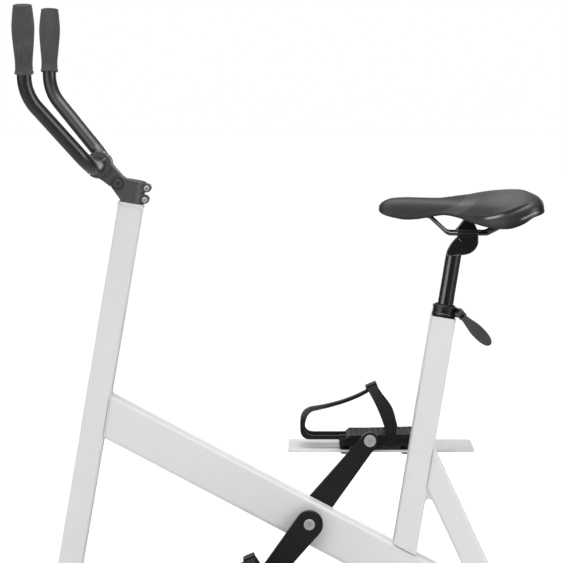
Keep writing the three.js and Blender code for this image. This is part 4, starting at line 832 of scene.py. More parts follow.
@finish
def saddle_skin(net):
    """Grained skin in two greys with a pale slanted inset and a glossy guard at the tail, painted
    shade on the flanks, a painted highlight on the crown and painted highlights along the piping
    and the hem at the tail.
    """
    share, height, _ = net.axes(net.layout("saddle"))
    grain = net.cells(720)
    creases = net.cells(300, "DISTANCE_TO_EDGE")
    soft = net.noise(22, 4, 0.6)
    slant = share - height * 0.19
    inset = slant.step(0.335, 0.35) * slant.step(0.425, 0.45, 1.0, 0.0)
    inset = inset * height.step(0.1, 0.2) * height.step(0.98, 1.06, 1.0, 0.0)
    under = share * 1.34 - 0.519 - height
    guard = share.step(0.62, 0.68) * under.step(-0.01, 0.02)
    # Painted highlight: a pale band along the flank piping, below the seam.
    piping_highlight = under.step(0.03, 0.045) * under.step(0.09, 0.11, 1.0, 0.0)
    piping_highlight = piping_highlight * share.step(0.62, 0.66) * share.step(0.69, 0.76, 1.0, 0.0)
    # Painted highlight: a pale line just above the rim at the tail.
    hem = height.step(0.14, 0.17) * height.step(0.21, 0.25, 1.0, 0.0)
    hem = hem * share.step(0.83, 0.87) * share.step(0.93, 0.97, 1.0, 0.0)
    # Painted shade: the lower flanks towards the rear are darkened, as the sides get less light
    # than the top.
    flank = height.step(0.5, 0.9, 1.0, 0.0) * share.step(0.45, 0.6)
    # Painted highlight: the crown is lightened near its top, where the light falls on it.
    crown = height.step(0.64, 0.98) * share.step(0.5, 0.8) * share.step(0.84, 0.95, 1.0, 0.1)
    edge = height.step(0.02, 0.13, 1.0, 0.0) + share.step(0.93, 0.985) * 0.8
    base = shade("saddle")
    colour = net.mix(soft.scaled(0.3, 0.7).clamped() * 0.4, base, tinted(base, 1.18))
    # Painted shade darkening the flanks.
    colour = net.mix(flank * 0.35, colour, tinted(base, 0.7))
    # Painted highlight lightening the crown.
    colour = net.mix(crown * 0.8, colour, tinted(base, 4.7))
    colour = net.mix(inset * 0.7, colour, tinted(base, 2.7))
    colour = net.mix((guard * 0.35 + edge * 0.7).clamped(), colour, grey(20))
    # Painted highlight along the piping and along the hem at the tail, as pale grey.
    colour = net.mix((piping_highlight * 0.7 + hem * 0.4).clamped(), colour, grey(168))
    pits = grain * 0.6 + creases.step(0.0, 0.25) * 0.4
    calm = (1 - guard * 0.9).clamped()
    net.surface(
        Base_Color=colour,
        Roughness=(0.5 + pits * 0.08 - guard * 0.12 - inset * 0.06 - crown * 0.04).clamped(),
        Normal=net.bump(pits * calm, 0.3, 0.0003),
        Specular_IOR_Level=0.45,
        Coat_Weight=(guard * 0.14 + 0.08).clamped(),
        Coat_Roughness=0.28,
    )


@finish
def saddle_thread(net):
    twist = net.noise(2200, 3)
    net.surface(
        Base_Color=net.mix(twist.step(0.4, 0.7), grey(62), grey(98)),
        Roughness=0.55,
        Normal=net.bump(twist, 0.5, 0.0002),
    )


@finish
def shell_plastic(net):
    moulded(net, 26, 0.32, 900, 60, 0.14)


FINISHES = {
    "frame_paint": frame_powder_coat,
    "boot_rubber": boot_rubber,
    "wheel_rubber": wheel_rubber,
    "crank_alloy": crank_alloy,
    "gloss_black_tube": gloss_black_tube,
    "clamp_alloy": clamp_black,
    "stem_alloy": stem_alloy,
    "saddle_clamp_alloy": saddle_clamp_alloy,
    "black_plastic": black_plastic,
    "strap_webbing": strap_webbing,
    "plate_plastic": plate_plastic,
    "saddle_skin": saddle_skin,
    "grip_rubber": grip_rubber,
    "lever_plastic": lever_plastic,
    "stainless_steel": stainless_steel,
}


# Trees that repeat a form or carry it along a path

class Tree(Graph):
    """A tree of geometry nodes with named inputs, and the modifier that runs it."""

    def __init__(self, name, inputs):
        super().__init__(bpy.data.node_groups.new(name, "GeometryNodeTree"))
        face = self.tree.interface
        face.new_socket(name="Geometry", in_out="INPUT", socket_type="NodeSocketGeometry")
        self.ids = {}
        for label, (kind, value) in inputs.items():
            socket = face.new_socket(name=label, in_out="INPUT", socket_type=f"NodeSocket{kind}")
            if kind != "Material":
                socket.default_value = value
            self.ids[label] = socket.identifier
        face.new_socket(name="Geometry", in_out="OUTPUT", socket_type="NodeSocketGeometry")
        self.given = self.node("NodeGroupInput").outputs
        self.inputs = inputs

    def end(self, geometry):
        """Realize Instances, then Set Material, then the output."""
        real = self.node("GeometryNodeRealizeInstances", {}, {0: geometry})
        dressed = self.node("GeometryNodeSetMaterial", {}, {
            "Geometry": real.outputs[0], "Material": self.given["Finish"]
        })
        self.node("NodeGroupOutput", {}, {0: dressed.outputs[0]})
        return self

    def run(self, piece, **values):
        """Runs the tree on a piece with these inputs and leaves a plain mesh."""
        modifier = piece.modifiers.new(self.tree.name, "NODES")
        modifier.node_group = self.tree
        for label, (_, value) in self.inputs.items():
            modifier[self.ids[label]] = values.get(label.lower().replace(" ", "_"), value)
        return baked(piece)


@cache
def tube_tree():
    """A round tube along a path of edges."""
    tree = Tree("tube along a path", {
        "Radius": ("Float", 0.01), "Sides": ("Int", 32), "Finish": ("Material", None),
    })
    path = tree.node("GeometryNodeMeshToCurve", {}, {0: tree.given["Geometry"]})
    ring = tree.node("GeometryNodeCurvePrimitiveCircle", {"mode": "RADIUS"}, {
        "Resolution": tree.given["Sides"], "Radius": tree.given["Radius"],
    })
    tube = tree.node("GeometryNodeCurveToMesh", {}, {
        "Curve": path.outputs[0], "Profile Curve": ring.outputs[0], "Fill Caps": True,
    })
    smooth = tree.node("GeometryNodeSetShadeSmooth", {}, {0: tube.outputs[0]})
    return tree.end(smooth.outputs[0])


@cache
def bead_tree():
    """Small rounded forms at even places along a path, turned with it: welds and stitches."""
    tree = Tree("beads along a path", {
        "Spacing": ("Float", 0.002), "Size": ("Vector", (0.001, 0.001, 0.001)),
        "Unevenness": ("Float", 0.1), "Detail": ("Int", 1), "Seed": ("Int", 7),
        "Finish": ("Material", None),
    })
    path = tree.node("GeometryNodeMeshToCurve", {}, {0: tree.given["Geometry"]})
    places = tree.node("GeometryNodeCurveToPoints", {"mode": "LENGTH"}, {
        0: path.outputs[0], "Length": tree.given["Spacing"],
    })
    bead = tree.node("GeometryNodeMeshIcoSphere", {}, {
        "Radius": 1.0, "Subdivisions": tree.given["Detail"],
    })
    low, high = (
        tree.node("ShaderNodeMath", {"operation": way}, {0: 1.0, 1: tree.given["Unevenness"]})
        for way in ("SUBTRACT", "ADD")
    )
    size = tree.node("FunctionNodeRandomValue", {"data_type": "FLOAT"}, {
        2: low.outputs[0], 3: high.outputs[0], "Seed": tree.given["Seed"],
    })
    scale = tree.node("ShaderNodeVectorMath", {"operation": "SCALE"}, {
        0: tree.given["Size"], "Scale": size.outputs[1],
    })
    beads = tree.node("GeometryNodeInstanceOnPoints", {}, {
        "Points": places.outputs[0], "Instance": bead.outputs[0],
        "Rotation": places.outputs["Rotation"], "Scale": scale.outputs[0],
    })
    smooth = tree.node("GeometryNodeSetShadeSmooth", {}, {0: beads.outputs[0]})
    return tree.end(smooth.outputs[0])


def path_object(name, points, closed=False):
    mesh = bpy.data.meshes.new(name)
    edges = [(i, i + 1) for i in range(len(points) - 1)]
    if closed:
        edges.append((len(points) - 1, 0))
    mesh.from_pydata([tuple(point) for point in points], edges, [])
    return object_of(name, mesh)


def beads_along(name, points, closed=False, **values):
    """Smooth beads at even places along a path."""
    path = bead_tree().run(path_object(name, points, closed), **values)
    path.data.shade_smooth()
    return path


def bent_rod(name, body, node, corners, radii, step, **values):
    """A rod swept along straight runs and bends, in the place of a solid of the bike."""
    rod = tube_tree().run(path_object(name, bent_path(corners, radii, step)), **values)
    mark_edges(rod.data, set())
    settle(rod, body, [node], SLOTS[node])


def mirrored(points):
    """The points, and from the last one back their mirror images on the other side."""
    return points + [(x, -y, z) for x, y, z in reversed(points)]


def finer(node, piece, width, matrix, segments, smooth=SHARP, material=None):
    """Rounds a piece built in its own frame and stands it in for a solid of the bike."""
    piece.name = f"{node}_finish"
    finish_edges(piece, width, segments, smooth=smooth)
    placed(piece, matrix)
    slot = SLOTS[node]
    return settle(piece, frame["nodes"][node]["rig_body"], [node], slot,
                  material or FINISHES[slot]())


def refine(node, width, segments=2, material=None, smooth=SHARP):
    """Stands a finer copy in for one of the bike's solids, with rounded edges."""
    return finer(node, solid_copy(node), width, Matrix(), segments, smooth, material)


def fresh_bolt(node, axis, material=None):
    """A smooth socket head bolt in the place of a solid one, the axis towards its head."""
    axis = Vector(axis).normalized()
    spots = {tuple(round(value, 6) for value in vertex.co)
             for vertex in frame["nodes"][node].data.vertices}
    spots = [Vector(spot) for spot in spots]
    middle = sum(spots, Vector()) / len(spots)
    rows = []
    for spot in spots:
        along = (spot - middle).dot(axis)
        rows.append((along, (spot - middle - axis * along).length))
    # The head is the widest part, the shank the part at the tip, and the socket lies inside
    top, tip = max(rows)[0], min(rows)[0]
    head = max(out for _, out in rows)
    seat = min(along for along, out in rows if out > head * 0.97)
    shank = max(out for along, out in rows if along < tip + 1e-5)
    inside = [out for along, out in rows if along > seat + 2e-4 and head * 0.2 < out < head * 0.9]
    socket, height = max(min(inside, default=0), head * 0.5), top - seat
    edge = min(0.0009, height * 0.3)
    piece = turned(f"{node}_bolt", [
        (0, tip - seat), (shank - edge / 2, tip - seat), (shank, tip - seat + edge / 2),
        (shank, 0), (head, 0), (head, height - edge), (head - edge * 0.4, height - edge * 0.4),
        (head - edge, height), (0, height),
    ], 48, "Z")
    carve(piece, [placed(cylinder(socket, height * 0.45, height * 2, axis="Z", steps=6),
                         Matrix.Rotation(0.3, 4, "Z"))])
    turn = axis.to_track_quat("Z", "X").to_matrix().to_4x4()
    return finer(node, piece, 0.0003, at(middle + axis * seat) @ turn, 2,
                 material=material)


# What a user may change

class AquaBikeSizes(bpy.types.PropertyGroup):
    edge_rounding: bpy.props.FloatProperty(
        name="Edge rounding", description="Radius on the edges of the metal pieces",
        default=0.0007, min=0.0, max=0.003, unit="LENGTH", precision=4,
    )
    plastic_rounding: bpy.props.FloatProperty(
        name="Plastic rounding", description="Radius on the edges of the moulded pieces",
        default=0.0011, min=0.0, max=0.004, unit="LENGTH", precision=4,
    )
    weld_pitch: bpy.props.FloatProperty(
        name="Weld ripple", description="Distance between the ripples of a weld",
        default=0.0014, min=0.0008, max=0.006, unit="LENGTH", precision=4,
    )
    weld_size: bpy.props.FloatProperty(
        name="Weld size", description="Half the width of a weld",
        default=0.0015, min=0.001, max=0.006, unit="LENGTH", precision=4,
    )
    stitch_pitch: bpy.props.FloatProperty(
        name="Stitch length", description="Distance between the saddle's stitches",
        default=0.0032, min=0.0015, max=0.008, unit="LENGTH", precision=4,
    )
    grip_grooves: bpy.props.IntProperty(
        name="Grip grooves", description="Grooves round the low end of each grip",
        default=14, min=4, max=40,
    )
    wheel_treads: bpy.props.IntProperty(
        name="Wheel treads", description="Grooves round each transport wheel",
        default=28, min=6, max=60,
    )
    floor_width: bpy.props.FloatProperty(
        name="Floor width", description="Width of the studio floor",
        default=60.0, min=3.0, max=200.0, unit="LENGTH",
    )


class AquaBikeColours(bpy.types.PropertyGroup):
    frame_paint: bpy.props.FloatVectorProperty(
        name="Frame paint", description="Powder coat of the frame tubes",
        subtype="COLOR", size=3, default=grey(198), min=0.0, max=1.0,
    )
    plates: bpy.props.FloatVectorProperty(
        name="Plates", description="Plastic of the water resistance plates",
        subtype="COLOR", size=3, default=grey(204), min=0.0, max=1.0,
    )
    grips: bpy.props.FloatVectorProperty(
        name="Grips", description="Rubber of the grips",
        subtype="COLOR", size=3, default=grey(60), min=0.0, max=1.0,
    )
    saddle: bpy.props.FloatVectorProperty(
        name="Saddle", description="Skin of the saddle",
        subtype="COLOR", size=3, default=grey(40), min=0.0, max=1.0,
    )


def sizes():
    """The sizes that the user may change."""
    return bpy.context.scene.aqua_bike_sizes


# Frame lines in the side view: a place, the way up it and the way across it

def side_line(x, z, lean):
    angle = math.radians(lean)
    return Vector((x, z)), Vector((math.sin(angle), math.cos(angle))), \
        Vector((math.cos(angle), -math.sin(angle)))


def at_height(line, z):
    point, up, _ = line
    return point + up * ((z - point.y) / up.y)


def beside(line, distance):
    point, up, across = line
    return point + across * distance, up, across


def meeting(first, second):
    gap = second[0] - first[0]
    return first[0] + first[1] * (gap.dot(second[2]) / first[1].dot(second[2]))


FRONT_POST = side_line(CRANK.x - FRONT_POST_AHEAD, CRANK.z, FRONT_POST_LEAN)
SEAT_TUBE = side_line(CRANK.x + SEAT_TUBE_BEHIND, CRANK.z, SEAT_TUBE_LEAN)
REAR_LEG = side_line(CRANK.x + REAR_LEG_BEHIND, CRANK.z, -REAR_LEG_LEAN)
DOWN_TUBE = side_line(CRANK.x, CRANK.z, DOWN_TUBE_LEAN)
POST_TOP = at_height(FRONT_POST, CRANK.z + FRONT_POST_RISE)
SEAT_TUBE_TOP = at_height(SEAT_TUBE, CRANK.z + SEAT_TUBE_RISE)
LEVEL = Vector((0, 1))
APEX_ROUND = 0.007


def joint_loop(line, middle, normal, tall, corner):
    """The loop where a tube of this height meets a flat face with this normal."""
    _, way, across = line
    slope = -across.dot(normal) / way.dot(normal)
    loop = []
    for a, b in rounded_box_outline(tall, POST_WIDTH, corner, 5):
        spot = middle + across * a + way * (a * slope)
        loop.append((spot.x, b, spot.y))
    return loop


def weld_loops():
    """The lines along which tubes meet each other, the foot tubes, the stem and the shell."""
    half = POST_WIDTH / 2
    square, tall = (POST_WIDTH, POST_CORNER), (DOWN_TUBE_HEIGHT, DOWN_TUBE_CORNER)
    loops = {
        f"{name}_foot": joint_loop(line, at_height(line, FOOT_TUBE_TOP), LEVEL, *square)
        for name, line in (("post", FRONT_POST), ("leg", REAR_LEG))
    }
    for name, line, face, section in (
        ("down_tube_front", DOWN_TUBE, beside(FRONT_POST, half), tall),
        ("down_tube_rear", DOWN_TUBE, beside(REAR_LEG, -half), tall),
        ("seat_tube_foot", SEAT_TUBE, beside(DOWN_TUBE, -DOWN_TUBE_HEIGHT / 2), square),
        ("leg_top", REAR_LEG, beside(SEAT_TUBE, half), square),
    ):
        loops[name] = joint_loop(line, meeting(line, face), face[2], *section)
    loops["post_top"] = joint_loop(FRONT_POST, POST_TOP, FRONT_POST[1], *square)
    for side, sign in SIDES.items():
        loops[f"shell_{side}"] = [(CRANK.x + a, sign * half, CRANK.z + b) for a, b in
                                  arc(0, 0, SHELL_RADIUS + 0.001, 0, 360, 48)[:-1]]
    return loops


def make_welds():
    """Rippled beads of weld, painted over with the frame."""
    size = sizes().weld_size
    beads = [
        beads_along(f"weld_{name}", loop, closed=True, spacing=sizes().weld_pitch,
                    size=(size, size, size * 0.75), unevenness=0.12, detail=2,
                    seed=number + 3, finish=weld_seam_paint())
        for number, (name, loop) in enumerate(weld_loops().items())
    ]
    settle(tagged_join("weld_beads", beads), "frame", (), "frame_paint")
    make_apex_fillet()


def make_apex_fillet():
    """The rounded fillet low in the corner between the seat tube and the rear leg."""
    half = POST_WIDTH / 2
    seat, leg = beside(SEAT_TUBE, half), beside(REAR_LEG, -half)
    apex = meeting(seat, leg)
    bisector = -(seat[1] + leg[1]).normalized()
    spread = seat[1].angle(leg[1]) / 2
    away, run = APEX_ROUND / math.sin(spread), APEX_ROUND / math.tan(spread)
    centre = apex + bisector * away
    ends = [line[0] + line[1] * (apex - line[0]).dot(line[1]) - line[1] * run
            for line in (seat, leg)]
    sweep = [math.degrees(math.atan2(*reversed(end - centre))) for end in ends]
    if sweep[0] - sweep[1] > 180:
        sweep[0] -= 360
    curve = arc(centre.x, centre.y, APEX_ROUND, *sweep, 20)
    outline = [tuple(apex - bisector * 0.004), (ends[0].x - 0.001, ends[0].y), *curve,
               (ends[1].x + 0.001, ends[1].y)]
    fillet = extruded("apex_fillet", outline, 0.004 - half, half - 0.004)
    finish_edges(fillet, 0.0, 1)
    settle(fillet, "frame", (), "frame_paint", frame_powder_coat())


def make_frame():
    for node in ("front_post", "down_tube", "seat_tube", "rear_leg", "steerer_tube",
                 "bottom_bracket_shell", "front_foot_tube", "rear_foot_tube"):
        refine(node, 0.0, smooth=34)


# Feet and transport wheels

def make_boots():
    for place in ("front", "rear"):
        for side in SIDES:
            refine(f"foot_boot_{place}_{side}", 0.0016, 3, smooth=40)


WHEEL_HALF = [(0.0052, -0.011), (0.0105, -0.011), (0.0125, -0.0085), (0.0185, -0.0085),
              (0.0205, -0.011), (0.0232, -0.011), (0.0252, -0.0092), (0.026, -0.006)]
TREAD_RADIUS = 0.0235
TREAD_DEPTH = 0.0011
TREAD_SLANT = 26


def tread(radius, along, angle):
    """Slanted grooves round the wheel's rim."""
    if radius < TREAD_RADIUS:
        return radius
    groove = max(0.0, math.cos((angle + along * TREAD_SLANT) * sizes().wheel_treads)) ** 2
    return radius - TREAD_DEPTH * groove


def make_wheels():
    """Wheels with a crowned, grooved tread and a recessed hub."""
    profile = WHEEL_HALF + [(r, -y) for r, y in reversed(WHEEL_HALF)] + WHEEL_HALF[:1]
    for side in SIDES:
        wheel = turned(f"transport_wheel_{side}", profile, sizes().wheel_treads * 4, shape=tread)
        placed(wheel, at(WHEELS[side]))
        finish_edges(wheel, 0.0005, 2)
        settle(wheel, f"transport_wheel_{side}", [f"wheel_{side}"], "wheel_rubber",
               wheel_rubber())
        refine(f"wheel_axle_{side}", 0.0006)


# Cranks

CRANK_TURN = 38.1
CRANK_LENGTH = 0.1705
CRANK_INNER = 0.027
CRANK_OUTER = 0.039
CRANK_BOSS = 0.0235
CRANK_END = 0.0145
SPINDLE_HOLE = 0.00897
BOLT_SEAT = 0.00999
BOLT_SEAT_LOW = 0.036
AXLE_HOLE = 0.00765
PAST = 0.004


def link_outline(first, second, length):
    """Outline of an arm between two round ends, from (0, 0) up to (0, length)."""
    tangent = math.degrees(math.asin((first - second) / length))
    return (
        arc(0, length, second, tangent, 180 - tangent, 32)
        + arc(0, 0, first, 180 - tangent, 360 + tangent, 32)
    )


def crank_place(side):
    """The right crank's frame, and the left one's, turned half round the spindle's middle."""
    turn = at(CRANK, CRANK_TURN)
    return turn if side == "right" else turn @ Matrix.Rotation(math.pi, 4, "X")


def make_cranks():
    for side in SIDES:
        arm = extruded(f"crank_arm_{side}", link_outline(CRANK_BOSS, CRANK_END, CRANK_LENGTH),
                       CRANK_INNER, CRANK_OUTER)
        carve(arm, [
            cylinder(SPINDLE_HOLE, CRANK_INNER - PAST, CRANK_OUTER + PAST, steps=48),
            cylinder(BOLT_SEAT, BOLT_SEAT_LOW, CRANK_OUTER + PAST, steps=48),
            cylinder(AXLE_HOLE, CRANK_INNER - PAST, CRANK_OUTER + PAST, (0, 0, CRANK_LENGTH),
                     steps=48),
        ])
        finish_edges(arm, 0.0014, 3)
        placed(arm, crank_place(side))
        settle(arm, "cranks", [f"crank_{side}"], "crank_alloy", crank_alloy())
        fresh_bolt(f"crank_bolt_{side}", (0, SIDES[side], 0))
        refine(f"bearing_{side}", 0.0005)
    refine("crank_spindle", 0.0005)


# Pedals, clips, straps and plates, in a frame on the pedal axle with +X to the heel

PEDAL_TOP = 0.0064
CLIP_BAND = 0.0065
CLIP_REACH = 0.121
CLIP_RISE = 0.092
CLIP_LEG_TOP = 0.0028
CLIP_LEG_SPACING = 0.041
CLIP_LEG_WIDTH = 0.01
STRAP_WIDTH = 0.016
STRAP_THICKNESS = 0.0022
STRAP_HEEL_SET = 0.038
STRAP_TOP_SET = 0.004
STRAP_SINK = 0.007
STRAP_END = 0.0395
STRAP_BOW = 0.004
STRAP_FLAT = 0.0153
STRAP_UPRIGHT = 0.3
STRAP_WIDER_HEEL = 0.75
STRAP_WIDER_TOE = 0.15
PEDAL_FRONT = 0.0525
PEDAL_REAR = 0.086
PEDAL_HEEL_RISE = 0.0025
PEDAL_HALF = 0.044
STEP_DROP = 0.0063
STEP_FLAT = 0.011
STEP_END = 0.018
CUT_PAST = 0.01
LOOP_HALF = 0.0044


def strap_frame():
    """The strap's own frame, +Z along it from its foot, in the pedal's; and its height."""
    foot = Vector((STRAP_HEEL_SET, PEDAL_TOP + PEDAL_HEEL_RISE * STRAP_HEEL_SET / PEDAL_REAR))
    top = Vector((STRAP_TOP_SET, CLIP_RISE - 0.003 - STRAP_THICKNESS))
    run = top - foot
    lean = math.degrees(math.atan2(run.x, run.y))
    return at((foot.x, 0, foot.y), lean), run.length


DECK_GROOVES = [-0.0315 + step * 0.0095 for step in range(12)]
# Middle, length and height of each hollow in the pedal's flanks
FLANK_HOLLOWS = [(-0.031, -0.0035, 0.022, 0.0085), (0.0655, -0.001, 0.034, 0.0018),
                 (0.0655, -0.0048, 0.034, 0.0018)]
HOLLOW_DEPTH = 0.0012


def pedal_cuts():
    """A low front end, grip grooves across the deck, and a panel and grooves in both sides."""
    front, low, past = -PEDAL_FRONT, PEDAL_TOP - STEP_DROP, PEDAL_TOP + CUT_PAST
    step_down = [(front - CUT_PAST, past), (front - CUT_PAST, low), (front + STEP_FLAT, low),
                 (front + STEP_END, PEDAL_TOP), (front + STEP_END, past)]
    cuts = [extruded("step down", step_down, -0.06, 0.06)]
    for x in DECK_GROOVES:
        deck = PEDAL_TOP + PEDAL_HEEL_RISE * max(x, 0.0) / PEDAL_REAR
        groove = extruded("groove", rounded_box_outline(0.0034, 0.062, 0.0015, 5),
                          deck - HOLLOW_DEPTH, deck + CUT_PAST, "Z")
        cuts.append(placed(groove, at((x, 0, 0))))
    for side in (-1, 1):
        span = sorted((side * (PEDAL_HALF - HOLLOW_DEPTH), side * (PEDAL_HALF + CUT_PAST)))
        for x, z, long, tall in FLANK_HOLLOWS:
            panel = extruded("panel", rounded_box_outline(long, tall, tall * 0.3, 4), *span)
            cuts.append(placed(panel, at((x, 0, z))))
    return cuts


def make_pedals():
    for side in SIDES:
        body = solid_copy(f"pedal_body_{side}")
        carve(body, [placed(cut, at(PEDALS[side])) for cut in pedal_cuts()])
        finer(f"pedal_body_{side}", body, sizes().plastic_rounding, Matrix(), 2)
        refine(f"pedal_axle_{side}", 0.0005)


def clip_outline():
    """The clip's band from the side, from the pedal's front end up to the loop and back."""
    front, top, low = -CLIP_REACH, CLIP_LEG_TOP, CLIP_LEG_TOP - CLIP_BAND
    back = -PEDAL_FRONT + 0.012 - FIT_GAP
    bend = (CLIP_REACH - PEDAL_FRONT) * 0.25
    inner, shoulder, bow = front + CLIP_BAND * 1.3, front + bend * 1.5, front * 0.3
    bend_top, bar = top + bend * 0.8, CLIP_BAND * 0.85
    nose, high, middle, crest = (CLIP_RISE * share for share in (0.53, 0.55, 0.66, 0.91))
    points = [(back, low), (front + bend, low)]
    points += quadratic(points[-1], (front, low), (front, bend_top), 14)
    points += quadratic(points[-1], (front, nose), (shoulder, high), 16)
    points += quadratic(points[-1], (bow, middle), (0, crest), 20)
    points.append((0, crest - bar))
    points += quadratic(points[-1], (bow, middle - bar), (shoulder, high - bar), 20)
    points += quadratic(points[-1], (inner, nose - CLIP_BAND), (inner, bend_top), 16)
    points += quadratic(points[-1], (inner, top), (inner + bend, top), 14)
    return points + [(back, top)]


def clip_front():
    """The clip from the front: two legs that run up and lean together into one bar."""
    outer = (CLIP_LEG_SPACING + CLIP_LEG_WIDTH) / 2
    inner = (CLIP_LEG_SPACING - CLIP_LEG_WIDTH) / 2
    bar, fork, crown = 0.008, CLIP_RISE * 0.3, CLIP_RISE * 0.62
    right = [(outer, -0.02), (outer, fork)]
    right += cubic((outer, fork), (outer, fork + 0.016), (bar, crown - 0.014), (bar, crown), 10)
    right.append((bar, CLIP_RISE + 0.01))
    inside = [(inner, -0.02), (inner, fork)]
    inside += cubic((inner, fork), (inner, fork + 0.01), (bar / 2, crown - 0.021),
                    (bar / 2, crown - 0.013), 8)
    left = [(-a, b) for a, b in reversed(right)]
    inside_left = [(-a, b) for a, b in inside]
    return right + left + inside_left + inside[::-1]


def make_clips():
    frame_at, height = strap_frame()
    for side in SIDES:
        band = extruded("band", clip_outline(), -0.03, 0.03)
        mask = extruded("clip mask", clip_front(), -CLIP_REACH - 0.004, 0.02, "X")
        carve(band, [mask], "INTERSECT")
        loop = extruded("loop", rounded_box_outline(0.02, 0.03, 0.003, 4),
                        height - LOOP_HALF, height + LOOP_HALF, "Z")
        placed(loop, frame_at)
        carve(band, [loop], "UNION")
        slot = extruded("slot", rounded_box_outline(0.0166, 0.0028, 0.001, 4), -0.04, 0.04)
        placed(slot, frame_at @ at((0, 0, height)))
        carve(band, [slot])
        finer(f"toe_clip_{side}", band, 0.0009, at(PEDALS[side]), 2)


def strap_line():
    """Middle line of the webbing from one foot over the loop to the other, as (y, z)."""
    _, top = strap_frame()
    flat, rise = STRAP_FLAT, top * STRAP_UPRIGHT
    half = [(STRAP_END, -STRAP_SINK + step * 0.0015) for step in range(5)]
    half += [(STRAP_END, rise * step / 8) for step in range(1, 9)]
    half += cubic(half[-1], (STRAP_END, (rise + top) / 2), ((STRAP_END + flat) / 2, top),
                  (flat, top), 28)
    half += [(flat * (1 - step / 6), top) for step in range(1, 7)]
    return half + [(-y, z) for y, z in reversed(half[:-1])], top


def strap_bow(z, top):
    """How far the strap bows to the heel at a height, most at four tenths of its rise."""
    deck = STRAP_WIDTH / 3
    share = min(max((z - deck) / (top - deck), 0.0), 1.0)
    return STRAP_BOW * math.sin(math.pi * share ** (math.log(0.5) / math.log(0.4)))


def webbing(name):
    """The strap's webbing, with rounded edges and its own map, broader low on its heel side."""
    line, top = strap_line()
    half, thick = STRAP_WIDTH / 2, STRAP_THICKNESS / 2
    section = [(-half, 0.0), (-half + 0.0004, 0.75), (-half + 0.0012, 1.0), (-0.003, 1.06),
               (0.003, 1.06), (half - 0.0012, 1.0), (half - 0.0004, 0.75), (half, 0.0)]
    section += [(x, -share) for x, share in reversed(section[1:-1])]
    points, marks, rings, run = [], [], [], 0.0
    for number, spot in enumerate(line):
        before, after = line[max(number - 1, 0)], line[min(number + 1, len(line) - 1)]
        way = (Vector(after) - Vector(before)).normalized()
        run += (Vector(spot) - Vector(before)).length
        height = spot[1]
        broad = ease(height, 0.0005, 0.008) * (1 - ease(height, top * 0.3, top * 0.82))
        rings.append(range(len(points), len(points) + len(section)))
        for x, share in section:
            wide = x * (1 + broad * (STRAP_WIDER_HEEL if x > 0 else STRAP_WIDER_TOE))
            points.append((wide + strap_bow(height, top),
                           *(Vector(spot) + Vector((way.y, -way.x)) * (share * thick))))
            marks.append((run, x))
    return mapped(name, points, rings, "strap", marks, 50)


def make_straps():
    frame_at, _ = strap_frame()
    for side in SIDES:
        strap = webbing(f"toe_strap_{side}_webbing")
        placed(strap, at(PEDALS[side]) @ frame_at)
        settle(strap, f"pedal_{side}", [f"toe_strap_{side}"], "strap_webbing", strap_webbing())


def make_plates():
    for side in SIDES:
        refine(f"resistance_plate_{side}", 0.0012, 3)
        for place in ("front", "rear"):
            fresh_bolt(f"plate_bolt_{place}_{side}", (0, 0, -1), dark_steel())


# Seat tube fittings, seat post and saddle clamp

SEAT_TOP = at((SEAT_TUBE_TOP.x, 0, SEAT_TUBE_TOP.y), SEAT_TUBE_LEAN)
SEAT_POST_RADIUS = 0.0136
COLLAR_RADIUS = 0.017
COLLAR_TOP = 0.022
SLEEVE_DEPTH = 0.09
RING_LOW = 0.0015
RING_HIGH = 0.02
RING_INSIDE = 0.01764
RING_OUTSIDE = 0.02104
EAR_HALF = 0.01
EAR_RADIUS = 0.0075
EAR_PLACE = 0.02694
CLAMP_SLOT = 0.0015
LEVER_DROP = 45.5
CAM_RADIUS = 0.008
CAM_HALF = 0.007
LEVER_LENGTH = 0.073
LEVER_TIP = 0.0728
LEVER_SQUARE = 0.55
RIB_DEPTH = 0.0003
RIB_WAVES = 2100


def make_sleeve():
    """The sleeve in the seat tube's top, with a round collar and a slot behind."""
    width = POST_WIDTH - 0.0046
    sleeve = extruded("sleeve", rounded_box_outline(width, width, 0.003, 4),
                      -SLEEVE_DEPTH, 0.0003, "Z")
    collar = turned("collar", [
        (0, -0.001), (COLLAR_RADIUS, -0.001), (COLLAR_RADIUS, COLLAR_TOP - 0.0012),
        (COLLAR_RADIUS - 0.0012, COLLAR_TOP), (0, COLLAR_TOP),
    ], 72, "Z")
    carve(sleeve, [collar], "UNION")
    carve(sleeve, [
        cylinder(SEAT_POST_RADIUS + FIT_GAP, -SLEEVE_DEPTH * 1.1, COLLAR_TOP * 2, axis="Z"),
        block((0, -CLAMP_SLOT, RING_LOW), (POST_WIDTH, CLAMP_SLOT, COLLAR_TOP * 2)),
    ])
    finer("seat_post_sleeve", sleeve, 0.0004, SEAT_TOP, 2)


